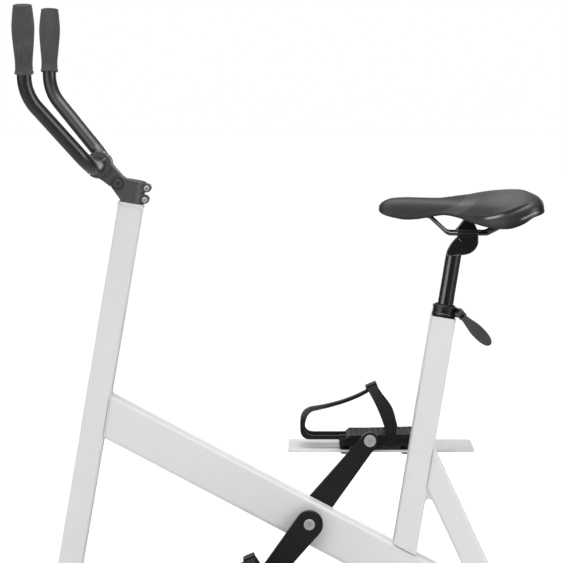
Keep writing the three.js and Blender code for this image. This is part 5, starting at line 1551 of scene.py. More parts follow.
def make_ring():
    """The clamp ring, with a groove round it and rounded ears for the skewer."""
    middle = (RING_LOW + RING_HIGH) / 2
    ring = turned("ring", [
        (0, RING_LOW), (RING_OUTSIDE - 0.001, RING_LOW), (RING_OUTSIDE, RING_LOW + 0.001),
        (RING_OUTSIDE, middle - 0.005), (RING_OUTSIDE - 0.0007, middle - 0.0042),
        (RING_OUTSIDE - 0.0007, middle + 0.0042), (RING_OUTSIDE, middle + 0.005),
        (RING_OUTSIDE, RING_HIGH - 0.001), (RING_OUTSIDE - 0.001, RING_HIGH), (0, RING_HIGH),
    ], 96, "Z")
    ear = [(RING_INSIDE, middle + EAR_RADIUS), (RING_INSIDE, middle - EAR_RADIUS)]
    ear += arc(EAR_PLACE, middle, EAR_RADIUS, -90, 90, 20)
    carve(ring, [extruded("ears", ear, -EAR_HALF, EAR_HALF)], "UNION")
    carve(ring, [
        cylinder(RING_INSIDE, -RING_HIGH, RING_HIGH * 2, axis="Z", steps=96),
        block((0, -CLAMP_SLOT, -RING_HIGH), (POST_WIDTH, CLAMP_SLOT, RING_HIGH * 2)),
        cylinder(0.0031, -POST_WIDTH, POST_WIDTH, (EAR_PLACE, 0, middle), steps=32),
    ])
    finer("seat_clamp_ring", ring, 0.0006, SEAT_TOP, 2)


def lever_ring(x):
    """Half width, thickness and depth under the pin of the lever's paddle at a place."""
    share = x / LEVER_LENGTH
    width = 0.0052 + 0.0056 * ease(share, 0.02, 0.56)
    tip = max(0.0, (share - 0.6) / 0.4)
    width *= math.sqrt(max(1 - tip ** 2.6, 0.0))
    thick = 0.0062 - 0.0026 * ease(share, 0.1, 0.9)
    bow = 0.0024 * math.sin(math.pi * min(share, 1.0))
    return width, thick * (1 - 0.6 * max(0.0, (share - 0.9) / 0.1)), 0.0052 + bow


def make_lever():
    """The cam lever: a forked barrel and a dished paddle shaped like a drop."""
    rows, sides = 60, 40
    points = []
    for row in range(rows + 1):
        x = LEVER_TIP * math.sin(math.pi / 2 * row / rows) ** 1.15
        width, thick, deep = lever_ring(x)
        for step in range(sides):
            angle = 2 * math.pi * step / sides
            across, out = (math.copysign(abs(way) ** LEVER_SQUARE, way)
                           for way in (math.cos(angle), math.sin(angle)))
            dish = 0.0011 * ease(0.75 - abs(across), 0.0, 0.3) * ease(x, 0.018, 0.03)
            dish *= 1 - ease(x, 0.055, 0.066)
            ribs = RIB_DEPTH * max(0.0, math.sin(x * RIB_WAVES)) * ease(dish, 0.0004, 0.0009)
            y = -deep - out * thick / 2
            points.append((x, y + dish - ribs if out > 0 else y, across * width))
    rings = [tuple(range(row * sides, (row + 1) * sides)) for row in range(rows + 1)]
    faces = skin(rings) + [rings[0], rings[-1]]
    lever = object_of("lever", mesh_of("lever", points, faces))
    carve(lever, [cylinder(CAM_RADIUS, -CAM_HALF, CAM_HALF, axis="Z")], "UNION")
    carve(lever, [
        block((-0.012, -0.012, -0.0031), (0.0061, 0.012, 0.0031)),
        cylinder(0.0029, -0.014, 0.014, axis="Z", steps=32),
    ])
    pivot = Vector(JOINTS["clamp_lever_swing"]["pos_m"])
    finer("clamp_lever", lever, 0.0005, at(pivot, LEVER_DROP), 2, smooth=42)


def make_seat_clamp():
    make_sleeve()
    make_ring()
    refine("clamp_skewer", 0.0005, material=dark_steel())
    make_lever()


POST_FOOT = -0.344
POST_NECK = -0.034
HEAD_HALF = 0.015
CRADLE_RADIUS = 0.0173
RIM_PLACE = at((0.001, 0, -0.0262))
RIM_INSIDE = 0.0066
RIM_OUTSIDE = 0.0084
RIM_FLOOR = 0.0138
RIM_PAST = 0.02


def make_seat_post():
    """The post, whose head bends forward like a swan's neck round the cradle's seat."""
    axis = at_height(SEAT_TUBE, TILT.z).x - TILT.x
    radius = SEAT_POST_RADIUS
    chin = axis - radius - 0.006
    tube = turned("tube", [(0, POST_FOOT), (radius - 0.001, POST_FOOT),
                           (radius, POST_FOOT + 0.001), (radius, POST_NECK), (0, POST_NECK)],
                  96, "Z")
    placed(tube, at((axis, 0, 0), SEAT_TUBE_LEAN))
    head = [(0.019, -0.004), (-0.0145, -0.004)]
    head += cubic(head[-1], (-0.0205, -0.0085), (chin + 0.0035, -0.02), (chin, -0.0345), 24)
    head += [(chin + 0.0026, -0.0396), (axis + radius * 0.72, -0.0375)]
    head += quadratic(head[-1], (0.014, -0.0352), (0.019, -0.0168), 18)
    neck = extruded("neck", head, -HEAD_HALF, HEAD_HALF)
    finish_edges(neck, 0.0024, 4)
    grooves = []
    for side in (-1, 1):
        floor, past = side * RIM_FLOOR, side * RIM_PAST
        rim = turned("rim", [(RIM_INSIDE, floor), (RIM_INSIDE, past), (RIM_OUTSIDE, past),
                             (RIM_OUTSIDE, floor), (RIM_INSIDE, floor)], 64)
        dimple = cylinder(0.003, *sorted((side * 0.0135, past)), steps=6)
        grooves += [placed(rim, RIM_PLACE), placed(dimple, RIM_PLACE)]
    carve(neck, [*grooves, cylinder(CRADLE_RADIUS, -0.03, 0.03, steps=96)])
    carve(tube, [cylinder(CRADLE_RADIUS, -0.031, 0.031, steps=96)])
    carve(tube, [neck], "UNION")
    carve(tube, [block((-0.0092, -0.0036, -0.0448), (0.0092, 0.0036, 0.001))])
    finer("seat_post", tube, 0.0005, at(TILT), 2)
    refine("lower_cradle", 0.0008)
    refine("upper_clamp", 0.0016, 3)
    fresh_bolt("cradle_bolt", (0, 0, 1))


# Saddle, in a level frame on its tilt axis

SADDLE_LENGTH = 0.278
SADDLE_NOSE = 0.15
SADDLE_HEIGHT = 0.072
SADDLE_HALF = 0.076
# Shares of the saddle's length, top and rim of its height, and half width, from nose to tail
SADDLE_STATIONS = [
    (0.0, 0.628, 0.512, 0.05), (0.012, 0.698, 0.467, 0.13), (0.036, 0.763, 0.422, 0.2),
    (0.079, 0.818, 0.377, 0.243), (0.162, 0.84, 0.324, 0.265), (0.252, 0.833, 0.35, 0.277),
    (0.342, 0.826, 0.412, 0.305), (0.403, 0.828, 0.434, 0.342), (0.475, 0.837, 0.382, 0.41),
    (0.547, 0.868, 0.29, 0.526), (0.619, 0.918, 0.207, 0.697), (0.701, 0.963, 0.157, 0.868),
    (0.784, 0.984, 0.167, 0.974), (0.863, 0.981, 0.277, 1.0), (0.921, 0.945, 0.42, 0.95),
    (0.964, 0.885, 0.475, 0.84), (0.989, 0.8, 0.51, 0.68), (0.9975, 0.735, 0.535, 0.55),
    (1.0, 0.66, 0.575, 0.36),
]
# The flank seam's height as a share of the rise, at a share of the length
SEAM = [(0.44, 0.14), (0.52, 0.23), (0.58, 0.285), (0.645, 0.345), (0.7, 0.42), (0.75, 0.486),
        (0.8, 0.553), (0.86, 0.633), (0.92, 0.713)]
SADDLE_ROWS = 150
SADDLE_STEPS = 72
HEM_HEIGHT = 0.13
THREAD_SINK = 0.0006
CROWN_POWER = 0.62


def station_at(place):
    """Top, rim and half width at a place along the saddle."""
    return smooth_at(SADDLE_STATIONS, place)


def seam_height(place):
    """How high the flank seam lies at a place along the saddle, as a share of the rise."""
    return smooth_at(SEAM, place)[0] if SEAM[0][0] <= place <= SEAM[-1][0] else None


def saddle_point(place, angle):
    """A point on the smooth crown: the angle runs from -90 at one rim to 90 at the other."""
    top, rim, half = station_at(place)
    turn = math.radians(angle)
    across = math.copysign(abs(math.sin(turn)) ** 0.85, turn)
    up = max(math.cos(turn), 0.0) ** CROWN_POWER
    return Vector((
        place * SADDLE_LENGTH - SADDLE_NOSE,
        across * half * SADDLE_HALF,
        (rim + up * (top - rim)) * SADDLE_HEIGHT,
    )), up


def saddle_depth(place, spot, up):
    """How far the padding is drawn in at a point, by its seams and its centre channel."""
    top, rim, _ = station_at(place)
    rise = (top - rim) * SADDLE_HEIGHT
    depth = hollow((up - HEM_HEIGHT) * rise, 0.0018, 0.0009) * ease(place, 0.02, 0.06)
    seam = seam_height(place)
    if seam is not None:
        window = ease(place, 0.44, 0.5) * (1 - ease(place, 0.88, 0.92))
        depth += hollow((up - seam) * rise, 0.0022, 0.0012) * window
        depth -= hollow((up - seam + 0.07) * rise, 0.0019, 0.0011) * window
    channel = ease(place, 0.36, 0.5) * (1 - ease(place, 0.86, 0.96))
    depth += hollow(spot.y, 0.0075, 0.0032) * channel * ease(up, 0.8, 0.97)
    return depth


def crown_angle(up):
    """The angle at which the crown has risen by this share."""
    return math.degrees(math.acos(min(1.0, up ** (1 / CROWN_POWER))))


def trough_row(place):
    """The underside of the cushion inside its rim, from one side to the other."""
    top, rim, half = station_at(place)
    half, rise = half * SADDLE_HALF, (top - rim) * SADDLE_HEIGHT
    wall, depth = min(0.006, half * 0.33), rise * 0.45
    shares = [(1, 0), (0.8, 0.6), (0.45, 1), (-0.45, 1), (-0.8, 0.6), (-1, 0)]
    return [Vector((place * SADDLE_LENGTH - SADDLE_NOSE, share * (half - wall),
                    rim * SADDLE_HEIGHT + height * depth)) for share, height in shares]


def saddle_mesh(name):
    """The padded skin: a closed form, drawn in along its seams, with its own map."""
    points, marks, rings = [], [], []
    for row in range(SADDLE_ROWS + 1):
        t = row / SADDLE_ROWS
        place = 0.55 * t + 0.45 * (0.5 - 0.5 * math.cos(math.pi * t))
        ring = []
        for step in range(SADDLE_STEPS + 1):
            angle = 90 - 180 * step / SADDLE_STEPS
            spot, up = saddle_point(place, angle)
            ahead = saddle_point(min(place + 0.002, 1.0), angle)[0]
            back = saddle_point(max(place - 0.002, 0.0), angle)[0]
            left = saddle_point(place, max(angle - 1, -90))[0]
            right = saddle_point(place, min(angle + 1, 90))[0]
            out = (right - left).cross(ahead - back)
            if out.length > 0:
                spot = spot - out.normalized() * saddle_depth(place, spot, up)
            ring.append((spot, (place, up)))
        for spot in reversed(trough_row(place)):
            ring.append((spot, (place, -0.1)))
        rings.append(range(len(points), len(points) + len(ring)))
        points += [spot for spot, _ in ring]
        marks += [mark for _, mark in ring]
    return mapped(name, points, rings, "saddle", marks, 60)


def make_stitches():
    """Threads along the seam and the hem of both flanks."""
    threads = []
    for side in (-1, 1):
        for name, low, high, height in (
            ("flank", 0.5, 0.89, seam_height), ("hem", 0.05, 0.97, lambda place: HEM_HEIGHT),
        ):
            line = []
            for step in range(161):
                place = low + (high - low) * step / 160
                spot, _ = saddle_point(place, side * crown_angle(height(place)))
                middle = Vector((spot.x, 0, spot.z - 0.01))
                line.append(spot + (spot - middle).normalized() * -THREAD_SINK + TILT)
            threads.append(beads_along(
                f"stitch_{name}_{side}", line, spacing=sizes().stitch_pitch,
                size=(0.00035, 0.00035, 0.0012), unevenness=0.08, detail=1, seed=11,
                finish=saddle_thread(),
            ))
    settle(tagged_join("saddle_stitches", threads), "saddle", (), "saddle_skin")


def make_saddle():
    cover = saddle_mesh("saddle_cushion")
    placed(cover, at(TILT))
    settle(cover, "saddle", ["saddle_cover"], "saddle_skin", saddle_skin())
    refine("saddle_shell", 0.0006, material=shell_plastic())
    make_stitches()


RAIL_CORNERS = [(0.080, 0.034, 0.026), (0.033, 0.022, 0.0), (-0.033, 0.022, 0.0),
                (-0.064, 0.0065, 0.029), (-0.09, 0.0065, 0.029)]
RAIL_BENDS = [0.014, 0.014, 0.014, 0.006, 0.006, 0.014, 0.014, 0.014]


def make_rails():
    """The one bent rod that makes both rails."""
    corners = [TILT + Vector(corner) for corner in mirrored(RAIL_CORNERS)]
    bent_rod("saddle_rail_rod", "saddle", "saddle_rails", corners, RAIL_BENDS, 0.0015,
             radius=0.0035, sides=24, finish=gloss_black_tube())


# Stem, handlebar and grips

STEM_LOW = 0.0046
STEM_RISE = 0.0365
STEM_HIGH = STEM_LOW + STEM_RISE
STEERER = 0.0143
STEM_OUTSIDE = 0.0197
STEM_HALF = 0.021
PIVOT = (-0.0273, STEM_LOW + 0.0297)
EAR = 0.013
TONGUE = 0.01
HUB = 0.009
ARM_LENGTH = 0.0454
ARM_LEAN = FRONT_POST_LEAN + 33
BAR_SEAT = 0.0123
CLAMP_HALF = 0.023
CLAMP_OUTSIDE = 0.0225
PINCH_BEHIND = 0.022
PINCH_HEIGHTS = [STEM_LOW + share * STEM_RISE for share in (0.26, 0.8)]
FACE_BOLTS = (-0.018, 0.018)
FACE_BOLT_REACH = -ARM_LENGTH - 0.045
TILT_GAP = 0.0006
THROUGH = 0.05
STEM_FOOT = (-STEM_OUTSIDE * 0.8, STEM_LOW)


def tangent_to(start, centre, radius, side):
    """The angle at which a line from a place outside touches a circle, in degrees."""
    away = Vector(start) - Vector(centre)
    return math.degrees(math.atan2(away.y, away.x) - side * math.acos(radius / away.length))


def make_stem_base(place):
    """The clamp on the steerer: pinch bosses behind, ears in front and a toothed ring."""
    base = cylinder(STEM_OUTSIDE, STEM_LOW, STEM_HIGH, axis="Z", steps=96)
    shoulder = (-STEERER, STEM_HIGH)
    low = tangent_to(STEM_FOOT, PIVOT, EAR, 1) % 360
    high = tangent_to(shoulder, PIVOT, EAR, -1) % 360
    ears = [(0, STEM_LOW), (0, STEM_HIGH), shoulder, *arc(*PIVOT, EAR, high, low, 40), STEM_FOOT]
    parts = [extruded("ears", ears, -STEM_HALF, STEM_HALF)]
    for z in PINCH_HEIGHTS:
        boss = [(0, z + 0.007), (0, z - 0.007)] + arc(PINCH_BEHIND, z, 0.007, -90, 90, 24)
        parts.append(extruded("boss", boss, -0.015, 0.015))
    carve(base, parts, "UNION")
    finish_edges(base, 0.0011, 3)
    pivot, slot = (PIVOT[0], 0, PIVOT[1]), TONGUE + TILT_GAP
    cuts = [
        cylinder(STEM_OUTSIDE + FIT_GAP, STEM_HIGH + FIT_GAP, 0.07, axis="Z", steps=90),
        cylinder(STEERER + FIT_GAP, -STEM_LOW, STEM_HIGH * 2, axis="Z", steps=96),
        block((0, -0.00125, -STEM_LOW), (0.06, 0.00125, STEM_HIGH * 1.2)),
        cylinder(HUB + TILT_GAP, -slot, slot, pivot),
        block((PIVOT[0] - 0.026, -slot, -STEM_LOW), (PIVOT[0], slot, 0.06)),
        cylinder(0.0043, -THROUGH, THROUGH, pivot, steps=32),
    ]
    cuts += [cylinder(0.003, -0.03, 0.03, (PINCH_BEHIND, 0, z), steps=32)
             for z in PINCH_HEIGHTS]
    carve(base, cuts)
    placed(base, place)
    teeth = []
    for side in (-1, 1):
        ring = [(PIVOT[0] + a, side * STEM_HALF, PIVOT[1] + b)
                for a, b in arc(0, 0, 0.0102, 0, 360, 60)[:-1]]
        teeth.append(beads_along(
            "teeth", [place @ Vector(spot) for spot in ring], closed=True, spacing=0.0018,
            size=(0.0016, 0.0016, 0.00045), unevenness=0.0, detail=2, seed=1,
            finish=stem_alloy(),
        ))
    for piece in (base, *teeth):
        piece.data.materials.clear()
        piece.data.materials.append(stem_alloy())
    carved = tagged_join("stem_base_finish", [base, *teeth])
    carved.data.set_sharp_from_angle(angle=math.radians(SHARP))
    settle(carved, "frame", ["stem_base"], "stem_alloy")


def face_bolt_cuts():
    """The bar's seat and the holes of the bolts above and below it."""
    seat = cylinder(BAR_SEAT, -THROUGH, THROUGH, (-ARM_LENGTH, 0, 0), steps=96)
    return [cylinder(0.003, FACE_BOLT_REACH, -ARM_LENGTH + 0.0123, (0, 0, z), "X", 32)
            for z in FACE_BOLTS] + [seat]


def make_stem_arm(place):
    """The tilting half: a tongue between the base's ears and a cradle for the bar."""
    end = CLAMP_OUTSIDE * 0.85
    beam = extruded("beam", [
        (0, -0.0125), (0, 0.0125), (-0.02, 0.0142), (-ARM_LENGTH, end), (-ARM_LENGTH, -end),
        (-0.02, -0.0142),
    ], -STEM_HALF, STEM_HALF)
    carve(beam, [cylinder(CLAMP_OUTSIDE, -CLAMP_HALF, CLAMP_HALF, (-ARM_LENGTH, 0, 0),
                          steps=96)], "UNION")
    foot = block((0, -THROUGH, 0), (EAR + TILT_GAP, THROUGH, 2 * EAR))
    placed(foot, turn_y(2 - tangent_to(STEM_FOOT, PIVOT, EAR, 1)))
    hollow_side = [(-0.0185, -0.007), (-0.0185, 0.007), (-0.0265, 0.0095), (-0.0265, -0.0095)]
    hollows = [extruded("hollow", hollow_side, *span)
               for span in ((-0.03, -0.0198), (0.0198, 0.03))]
    carve(beam, [cylinder(EAR + TILT_GAP, -THROUGH, THROUGH), foot, *hollows])
    neck = extruded("neck", rounded_box_outline(0.024, 0.012, 0.001, 3), -TONGUE, TONGUE)
    placed(neck, at((-0.0115, 0, 0)))
    carve(beam, [cylinder(HUB, -TONGUE, TONGUE), neck], "UNION")
    front = block((-0.12, -THROUGH, -0.06), (-ARM_LENGTH + 0.0015, THROUGH, 0.06))
    carve(beam, [cylinder(0.0046, -THROUGH, THROUGH, steps=32), front, *face_bolt_cuts()])
    finer("stem_arm", beam, 0.0009, place, 3)


def make_faceplate(place):
    """The face plate, with a window at either side of its middle."""
    plate = cylinder(CLAMP_OUTSIDE, -CLAMP_HALF, CLAMP_HALF, (-ARM_LENGTH, 0, 0), steps=96)
    seats = [cylinder(0.0049, FACE_BOLT_REACH, -ARM_LENGTH - 0.005, (0, 0, z), "X", 40)
             for z in FACE_BOLTS]
    windows = [
        placed(extruded("window", rounded_box_outline(0.05, 0.013, 0.003, 6), *span),
               at((-ARM_LENGTH - 0.0375, 0, 0)))
        for span in ((-0.0165, -0.0035), (0.0035, 0.0165))
    ]
    rear = block((-ARM_LENGTH - 0.0015, -THROUGH, -0.06), (0.02, THROUGH, 0.06))
    carve(plate, [rear, *face_bolt_cuts()])
    carve(plate, [*seats, *windows])
    finer("stem_faceplate", plate, 0.0009, place, 3)


def make_stem():
    base_place = at((POST_TOP.x, 0, POST_TOP.y), FRONT_POST_LEAN)
    arm_place = at(STEM_PIVOT, ARM_LEAN)
    make_stem_base(base_place)
    make_stem_arm(arm_place)
    make_faceplate(arm_place)
    cap = turned("cap", [
        (0, 0.0345), (0.0118, 0.0345), (0.0118, STEM_HIGH + FIT_GAP),
        (STEM_OUTSIDE - FIT_GAP, STEM_HIGH + FIT_GAP), (STEM_OUTSIDE - FIT_GAP, 0.0426),
        (STEM_OUTSIDE - 0.002, 0.0438), (0.009, 0.0438), (0.0082, 0.0431), (0, 0.0431),
    ], 96, "Z")
    finer("stem_top_cap", cap, 0.0002, base_place, 2)
    for node in ("stem_pinch_bolt_lower", "stem_pinch_bolt_upper"):
        fresh_bolt(node, (0, -1, 0))
    fresh_bolt("stem_pivot_bolt", (0, -1, 0), dark_steel())
    for node in ("faceplate_bolt_lower", "faceplate_bolt_upper"):
        fresh_bolt(node, BAR_MIDDLE - STEM_PIVOT)


BAR_TOP = Vector((-0.1035, 0.206, 0.262))
BAR_HORN = Vector((-0.1035, 0.188, 0.122))
BAR_CORNER = Vector((0.0, 0.14, 0.0))


def make_handlebar():
    """The bent bar, swept along its middle line."""
    half = [(p.x, -p.y, p.z) for p in (BAR_TOP, BAR_HORN, BAR_CORNER)]
    corners = [BAR_MIDDLE + Vector(corner) for corner in mirrored(half)]
    bent_rod("handlebar_tube", "handlebar", "handlebar", corners, [0.08, 0.045, 0.045, 0.08],
             0.002, radius=0.012, sides=48, finish=bar_black())


# The grip's radius at a share of its length from the low end
GRIP_PROFILE = [(0.0, 0.0154), (0.035, 0.0153), (0.06, 0.0146), (0.17, 0.0143),
                (0.38, 0.01645), (0.66, 0.0186), (0.86, 0.0170), (0.985, 0.0154)]
GRIP_LENGTH = 0.112
GRIP_CAP = 0.0045
GRIP_LOW = GRIP_CAP - GRIP_LENGTH
GRIP_BORE = 0.0123
GRIP_ROWS = 84


def grip_reach(radius, along, angle):
    """Grooves on the waist of the grip, and a fine line under either end."""
    if radius <= 0.013:
        return radius
    share = (along - GRIP_LOW) / GRIP_LENGTH
    waist = ease(share, 0.07, 0.11) * (1 - ease(share, 0.3, 0.46))
    groove = waist * max(0.0, math.cos(angle * sizes().grip_grooves)) ** 3
    collar = ease(share, 0.035, 0.05) * (1 - ease(share, 0.055, 0.075))
    crown = ease(share, 0.94, 0.95) * (1 - ease(share, 0.955, 0.965))
    return radius - 0.0009 * groove - 0.0004 * collar - 0.0005 * crown


def make_grips():
    """Rubber grips: a palm swell over a grooved waist, and a collar at the low end."""
    profile = [(0.0, 0.0003), (GRIP_BORE, 0.0003), (GRIP_BORE, GRIP_LOW)]
    profile += [(*smooth_at(GRIP_PROFILE, row / GRIP_ROWS),
                 GRIP_LOW + GRIP_LENGTH * row / GRIP_ROWS) for row in range(GRIP_ROWS)]
    profile += [(0.0145, GRIP_CAP - 0.0006), (0.0128, GRIP_CAP), (0.0, GRIP_CAP)]
    for side, sign in SIDES.items():
        grip = turned(f"grip_{side}_rubber", profile, sizes().grip_grooves * 10, "Z", grip_reach)
        splay = math.atan2(sign * (BAR_TOP.y - BAR_HORN.y), BAR_TOP.z - BAR_HORN.z)
        spot = BAR_MIDDLE + Vector((BAR_TOP.x, sign * BAR_TOP.y, BAR_TOP.z))
        placed(grip, at(spot) @ Matrix.Rotation(-splay, 4, "X"))
        mark_edges(grip.data, set())
        grip.data.shade_smooth()
        grip.data.set_sharp_from_angle(angle=math.radians(50))
        settle(grip, "handlebar", [f"grip_{side}"], "grip_rubber", grip_rubber())


# Stage

@finish
def studio_floor(net):
    speck = net.noise(60, 3)
    net.surface(
        Base_Color=net.mix(speck * 0.3, grey(254), grey(251)),
        Roughness=0.6,
        Specular_IOR_Level=0.2,
    )


# The camera's place from the crank, its focal length in the photograph's pixels, and the pixels
# between the photograph's middle and the point that a level view straight ahead would meet
CAMERA_PLACE = Vector((-0.01637, -3.989, 0.80767))
VIEW_PIXELS = 2345.83
VIEW_MIDDLE = (18.5, 231.5)
# The sky's light from straight below, 0, to straight overhead, 1
SKY = [(0, 0.6), (0.18, 0.5), (0.42, 0.1), (0.54, 0.06), (0.64, 0.09), (0.82, 0.26), (0.92, 1.0),
       (1, 1.25)]


def hung(name, data, place, turn):
    """A lamp or camera in its place."""
    holder = object_of(name, data)
    holder.location, holder.rotation_euler = place, turn
    return holder


def make_light(name, place, aim, size, power):
    lamp = bpy.data.lights.new(name, "AREA")
    lamp.shape = "RECTANGLE"
    lamp.size, lamp.size_y = size
    lamp.energy = power
    way = Vector(aim) - Vector(place)
    hung(name, lamp, place, way.to_track_quat("-Z", "Y").to_euler())


def make_world():
    """White behind the bike, and soft light that is strong overhead and dim at the horizon."""
    world = bpy.data.worlds.new("studio")
    world.use_nodes = True
    graph, white = Graph(world.node_tree), (1, 1, 1, 1)
    way = graph.node("ShaderNodeTexCoord").outputs["Generated"]
    height = graph.node("ShaderNodeSeparateXYZ", {}, {0: way}).outputs["Z"]
    share = graph.node("ShaderNodeMapRange", {}, {"Value": height, "From Min": -1})
    ramp = graph.node("ShaderNodeFloatCurve", {}, {"Value": share.outputs[0]})
    line = ramp.mapping.curves[0]
    for place, level in SKY[1:-1]:
        line.points.new(place, level)
    line.points[0].location, line.points[-1].location = SKY[0], SKY[-1]
    ramp.mapping.update()
    soft = graph.tree.nodes["Background"]
    graph.feed(soft, {"Color": white, "Strength": ramp.outputs[0]})
    plain = graph.node("ShaderNodeBackground", {}, {"Color": white})
    ray = graph.node("ShaderNodeLightPath")
    both = graph.node("ShaderNodeMixShader", {}, {
        0: ray.outputs["Is Camera Ray"], 1: soft.outputs[0], 2: plain.outputs[0]
    })
    graph.feed(graph.tree.nodes["World Output"], {"Surface": both.outputs[0]})
    return world


def make_stage():
    scene = bpy.context.scene
    half = sizes().floor_width / 2
    corners = [(-half, -half, 0), (half, -half, 0), (half, half, 0), (-half, half, 0)]
    floor = object_of("studio_floor", mesh_of("studio_floor", corners, [(0, 1, 2, 3)],
                                              studio_floor()))
    floor.visible_glossy = False
    scene.world = make_world()
    middle = (CRANK.x, 0, 0.65)
    sun = bpy.data.lights.new("overhead", "SUN")
    sun.energy = 1.86
    sun.angle = math.radians(70)
    hung("overhead", sun, (0, 0, 0), (math.radians(16), math.radians(-10), 0))
    make_light("left_strip", (-2.9, -2.6, 1.5), middle, (3.0, 2.6), 40)
    make_light("right_strip", (3.3, -2.0, 1.4), middle, (1.8, 2.4), 58)
    make_light("backdrop", (0, 3.4, 1.0), (0, 0, 0.9), (5.0, 1.4), 26)
    make_light("over_strip", (-0.1, -0.6, 2.9), middle, (1.6, 0.3), 12)
    scene.view_settings.view_transform = "Standard"
    scene.view_settings.look = "None"
    camera = bpy.data.cameras.new("camera")
    camera.lens = 150
    camera.sensor_width = 36
    camera.clip_end = 200
    turn = (math.radians(90) - math.atan2(VIEW_MIDDLE[1], VIEW_PIXELS), 0,
            math.atan2(VIEW_MIDDLE[0], VIEW_PIXELS))
    scene.camera = hung("camera", camera, CRANK + CAMERA_PLACE, turn)


# Operators, one for each piece or group of like pieces

class AQUABIKE_OT_frame(bpy.types.Operator):
    """Dress the tubes of the frame"""

    bl_idname = "aqua_bike.frame"
    bl_label = "Frame tubes"
    bl_options = {"REGISTER", "UNDO"}

    def execute(self, context):
        make_frame()
        return {"FINISHED"}


class AQUABIKE_OT_welds(bpy.types.Operator):
    """Lay a rippled bead of weld round each joint of the frame"""

    bl_idname = "aqua_bike.welds"
    bl_label = "Weld beads"
    bl_options = {"REGISTER", "UNDO"}

    def execute(self, context):
        make_welds()
        return {"FINISHED"}


class AQUABIKE_OT_boots(bpy.types.Operator):
    """Finish the rubber boots on the foot tubes"""

    bl_idname = "aqua_bike.boots"
    bl_label = "Rubber feet"
    bl_options = {"REGISTER", "UNDO"}

    def execute(self, context):
        make_boots()
        return {"FINISHED"}


class AQUABIKE_OT_wheels(bpy.types.Operator):
    """Build the grooved transport wheels and finish their axles"""

    bl_idname = "aqua_bike.wheels"
    bl_label = "Transport wheels"
    bl_options = {"REGISTER", "UNDO"}

    def execute(self, context):
        make_wheels()
        return {"FINISHED"}


class AQUABIKE_OT_cranks(bpy.types.Operator):
    """Build the crank arms and finish the spindle, its bearings and its bolts"""

    bl_idname = "aqua_bike.cranks"
    bl_label = "Cranks"
    bl_options = {"REGISTER", "UNDO"}

    def execute(self, context):
        make_cranks()
        return {"FINISHED"}


class AQUABIKE_OT_pedals(bpy.types.Operator):
    """Build the moulded pedals and finish their axles"""

    bl_idname = "aqua_bike.pedals"
    bl_label = "Pedals"
    bl_options = {"REGISTER", "UNDO"}

    def execute(self, context):
        make_pedals()
        return {"FINISHED"}


class AQUABIKE_OT_clips(bpy.types.Operator):
    """Build the toe clips with the loops for their straps"""

    bl_idname = "aqua_bike.clips"
    bl_label = "Toe clips"
    bl_options = {"REGISTER", "UNDO"}

    def execute(self, context):
        make_clips()
        return {"FINISHED"}


class AQUABIKE_OT_straps(bpy.types.Operator):
    """Lay the webbing of the toe straps over their clips"""

    bl_idname = "aqua_bike.straps"
    bl_label = "Toe straps"
    bl_options = {"REGISTER", "UNDO"}

    def execute(self, context):
        make_straps()
        return {"FINISHED"}


class AQUABIKE_OT_plates(bpy.types.Operator):
    """Finish the plates under the pedals and their bolts"""

    bl_idname = "aqua_bike.plates"
    bl_label = "Resistance plates"
    bl_options = {"REGISTER", "UNDO"}

    def execute(self, context):
        make_plates()
        return {"FINISHED"}


class AQUABIKE_OT_seat_clamp(bpy.types.Operator):
    """Finish the sleeve, the clamp ring, its skewer and its lever"""

    bl_idname = "aqua_bike.seat_clamp"
    bl_label = "Seat clamp"
    bl_options = {"REGISTER", "UNDO"}

    def execute(self, context):
        make_seat_clamp()
        return {"FINISHED"}


class AQUABIKE_OT_seat_post(bpy.types.Operator):
    """Finish the seat post and the clamp on its head"""

    bl_idname = "aqua_bike.seat_post"
    bl_label = "Seat post"
    bl_options = {"REGISTER", "UNDO"}

    def execute(self, context):
        make_seat_post()
        return {"FINISHED"}


class AQUABIKE_OT_rails(bpy.types.Operator):
    """Sweep the bent rod that carries the saddle"""

    bl_idname = "aqua_bike.rails"
    bl_label = "Saddle rails"
    bl_options = {"REGISTER", "UNDO"}

    def execute(self, context):
        make_rails()
        return {"FINISHED"}


class AQUABIKE_OT_saddle(bpy.types.Operator):
    """Build the padded saddle, its shell and its stitches"""

    bl_idname = "aqua_bike.saddle"
    bl_label = "Saddle"
    bl_options = {"REGISTER", "UNDO"}

    def execute(self, context):
        make_saddle()
        return {"FINISHED"}


class AQUABIKE_OT_stem(bpy.types.Operator):
    """Finish the tilting stem and its bolts"""

    bl_idname = "aqua_bike.stem"
    bl_label = "Stem"
    bl_options = {"REGISTER", "UNDO"}

    def execute(self, context):
        make_stem()
        return {"FINISHED"}


class AQUABIKE_OT_handlebar(bpy.types.Operator):
    """Sweep the bent handlebar"""

    bl_idname = "aqua_bike.handlebar"
    bl_label = "Handlebar"
    bl_options = {"REGISTER", "UNDO"}

    def execute(self, context):
        make_handlebar()
        return {"FINISHED"}


class AQUABIKE_OT_grips(bpy.types.Operator):
    """Build the grooved rubber grips"""

    bl_idname = "aqua_bike.grips"
    bl_label = "Grips"
    bl_options = {"REGISTER", "UNDO"}

    def execute(self, context):
        make_grips()
        return {"FINISHED"}


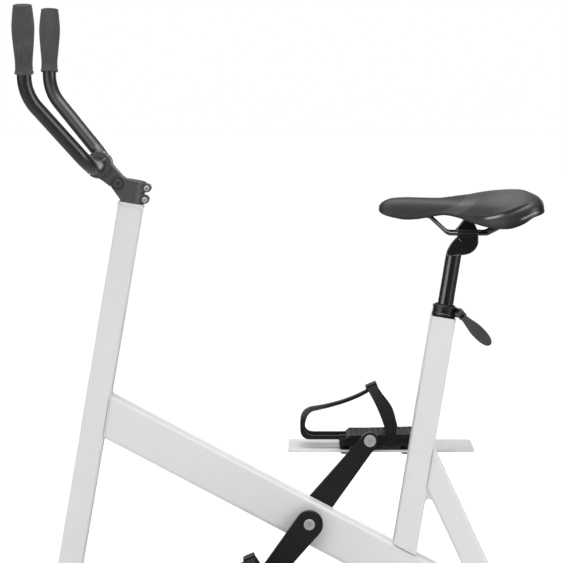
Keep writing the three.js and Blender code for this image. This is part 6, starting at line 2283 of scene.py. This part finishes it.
class AQUABIKE_OT_stage(bpy.types.Operator):
    """Make the floor, the lights and the camera"""

    bl_idname = "aqua_bike.stage"
    bl_label = "Studio"
    bl_options = {"REGISTER", "UNDO"}

    def execute(self, context):
        make_stage()
        return {"FINISHED"}


PIECES = (
    AQUABIKE_OT_frame,
    AQUABIKE_OT_welds,
    AQUABIKE_OT_boots,
    AQUABIKE_OT_wheels,
    AQUABIKE_OT_cranks,
    AQUABIKE_OT_pedals,
    AQUABIKE_OT_clips,
    AQUABIKE_OT_straps,
    AQUABIKE_OT_plates,
    AQUABIKE_OT_seat_clamp,
    AQUABIKE_OT_seat_post,
    AQUABIKE_OT_rails,
    AQUABIKE_OT_saddle,
    AQUABIKE_OT_stem,
    AQUABIKE_OT_handlebar,
    AQUABIKE_OT_grips,
    AQUABIKE_OT_stage,
)


class AQUABIKE_PT_sidebar(bpy.types.Panel):
    """Lists the pieces of the bike and the sizes and colours behind them"""

    bl_idname = "AQUABIKE_PT_sidebar"
    bl_label = "Aqua Bike"
    bl_space_type = "VIEW_3D"
    bl_region_type = "UI"
    bl_category = "Aqua Bike"

    def draw(self, context):
        column = self.layout.column(align=True)
        for piece in PIECES:
            column.operator(piece.bl_idname)
        for group in (context.scene.aqua_bike_sizes, context.scene.aqua_bike_colours):
            rows = self.layout.column()
            for name in group.__annotations__:
                rows.prop(group, name)


CLASSES = (AquaBikeSizes, AquaBikeColours, *PIECES, AQUABIKE_PT_sidebar)


def register():
    for kind in CLASSES:
        bpy.utils.register_class(kind)
    bpy.types.Scene.aqua_bike_sizes = bpy.props.PointerProperty(type=AquaBikeSizes)
    bpy.types.Scene.aqua_bike_colours = bpy.props.PointerProperty(type=AquaBikeColours)


def unregister():
    del bpy.types.Scene.aqua_bike_colours
    del bpy.types.Scene.aqua_bike_sizes
    for kind in reversed(CLASSES):
        bpy.utils.unregister_class(kind)


def main():
    """Builds every piece in order."""
    register()
    for piece in PIECES:
        name = piece.bl_idname.split(".")[1]
        if getattr(bpy.ops.aqua_bike, name)() != {"FINISHED"}:
            raise RuntimeError(f"{piece.bl_label} could not be made")


if __name__ == "__main__":
    main()
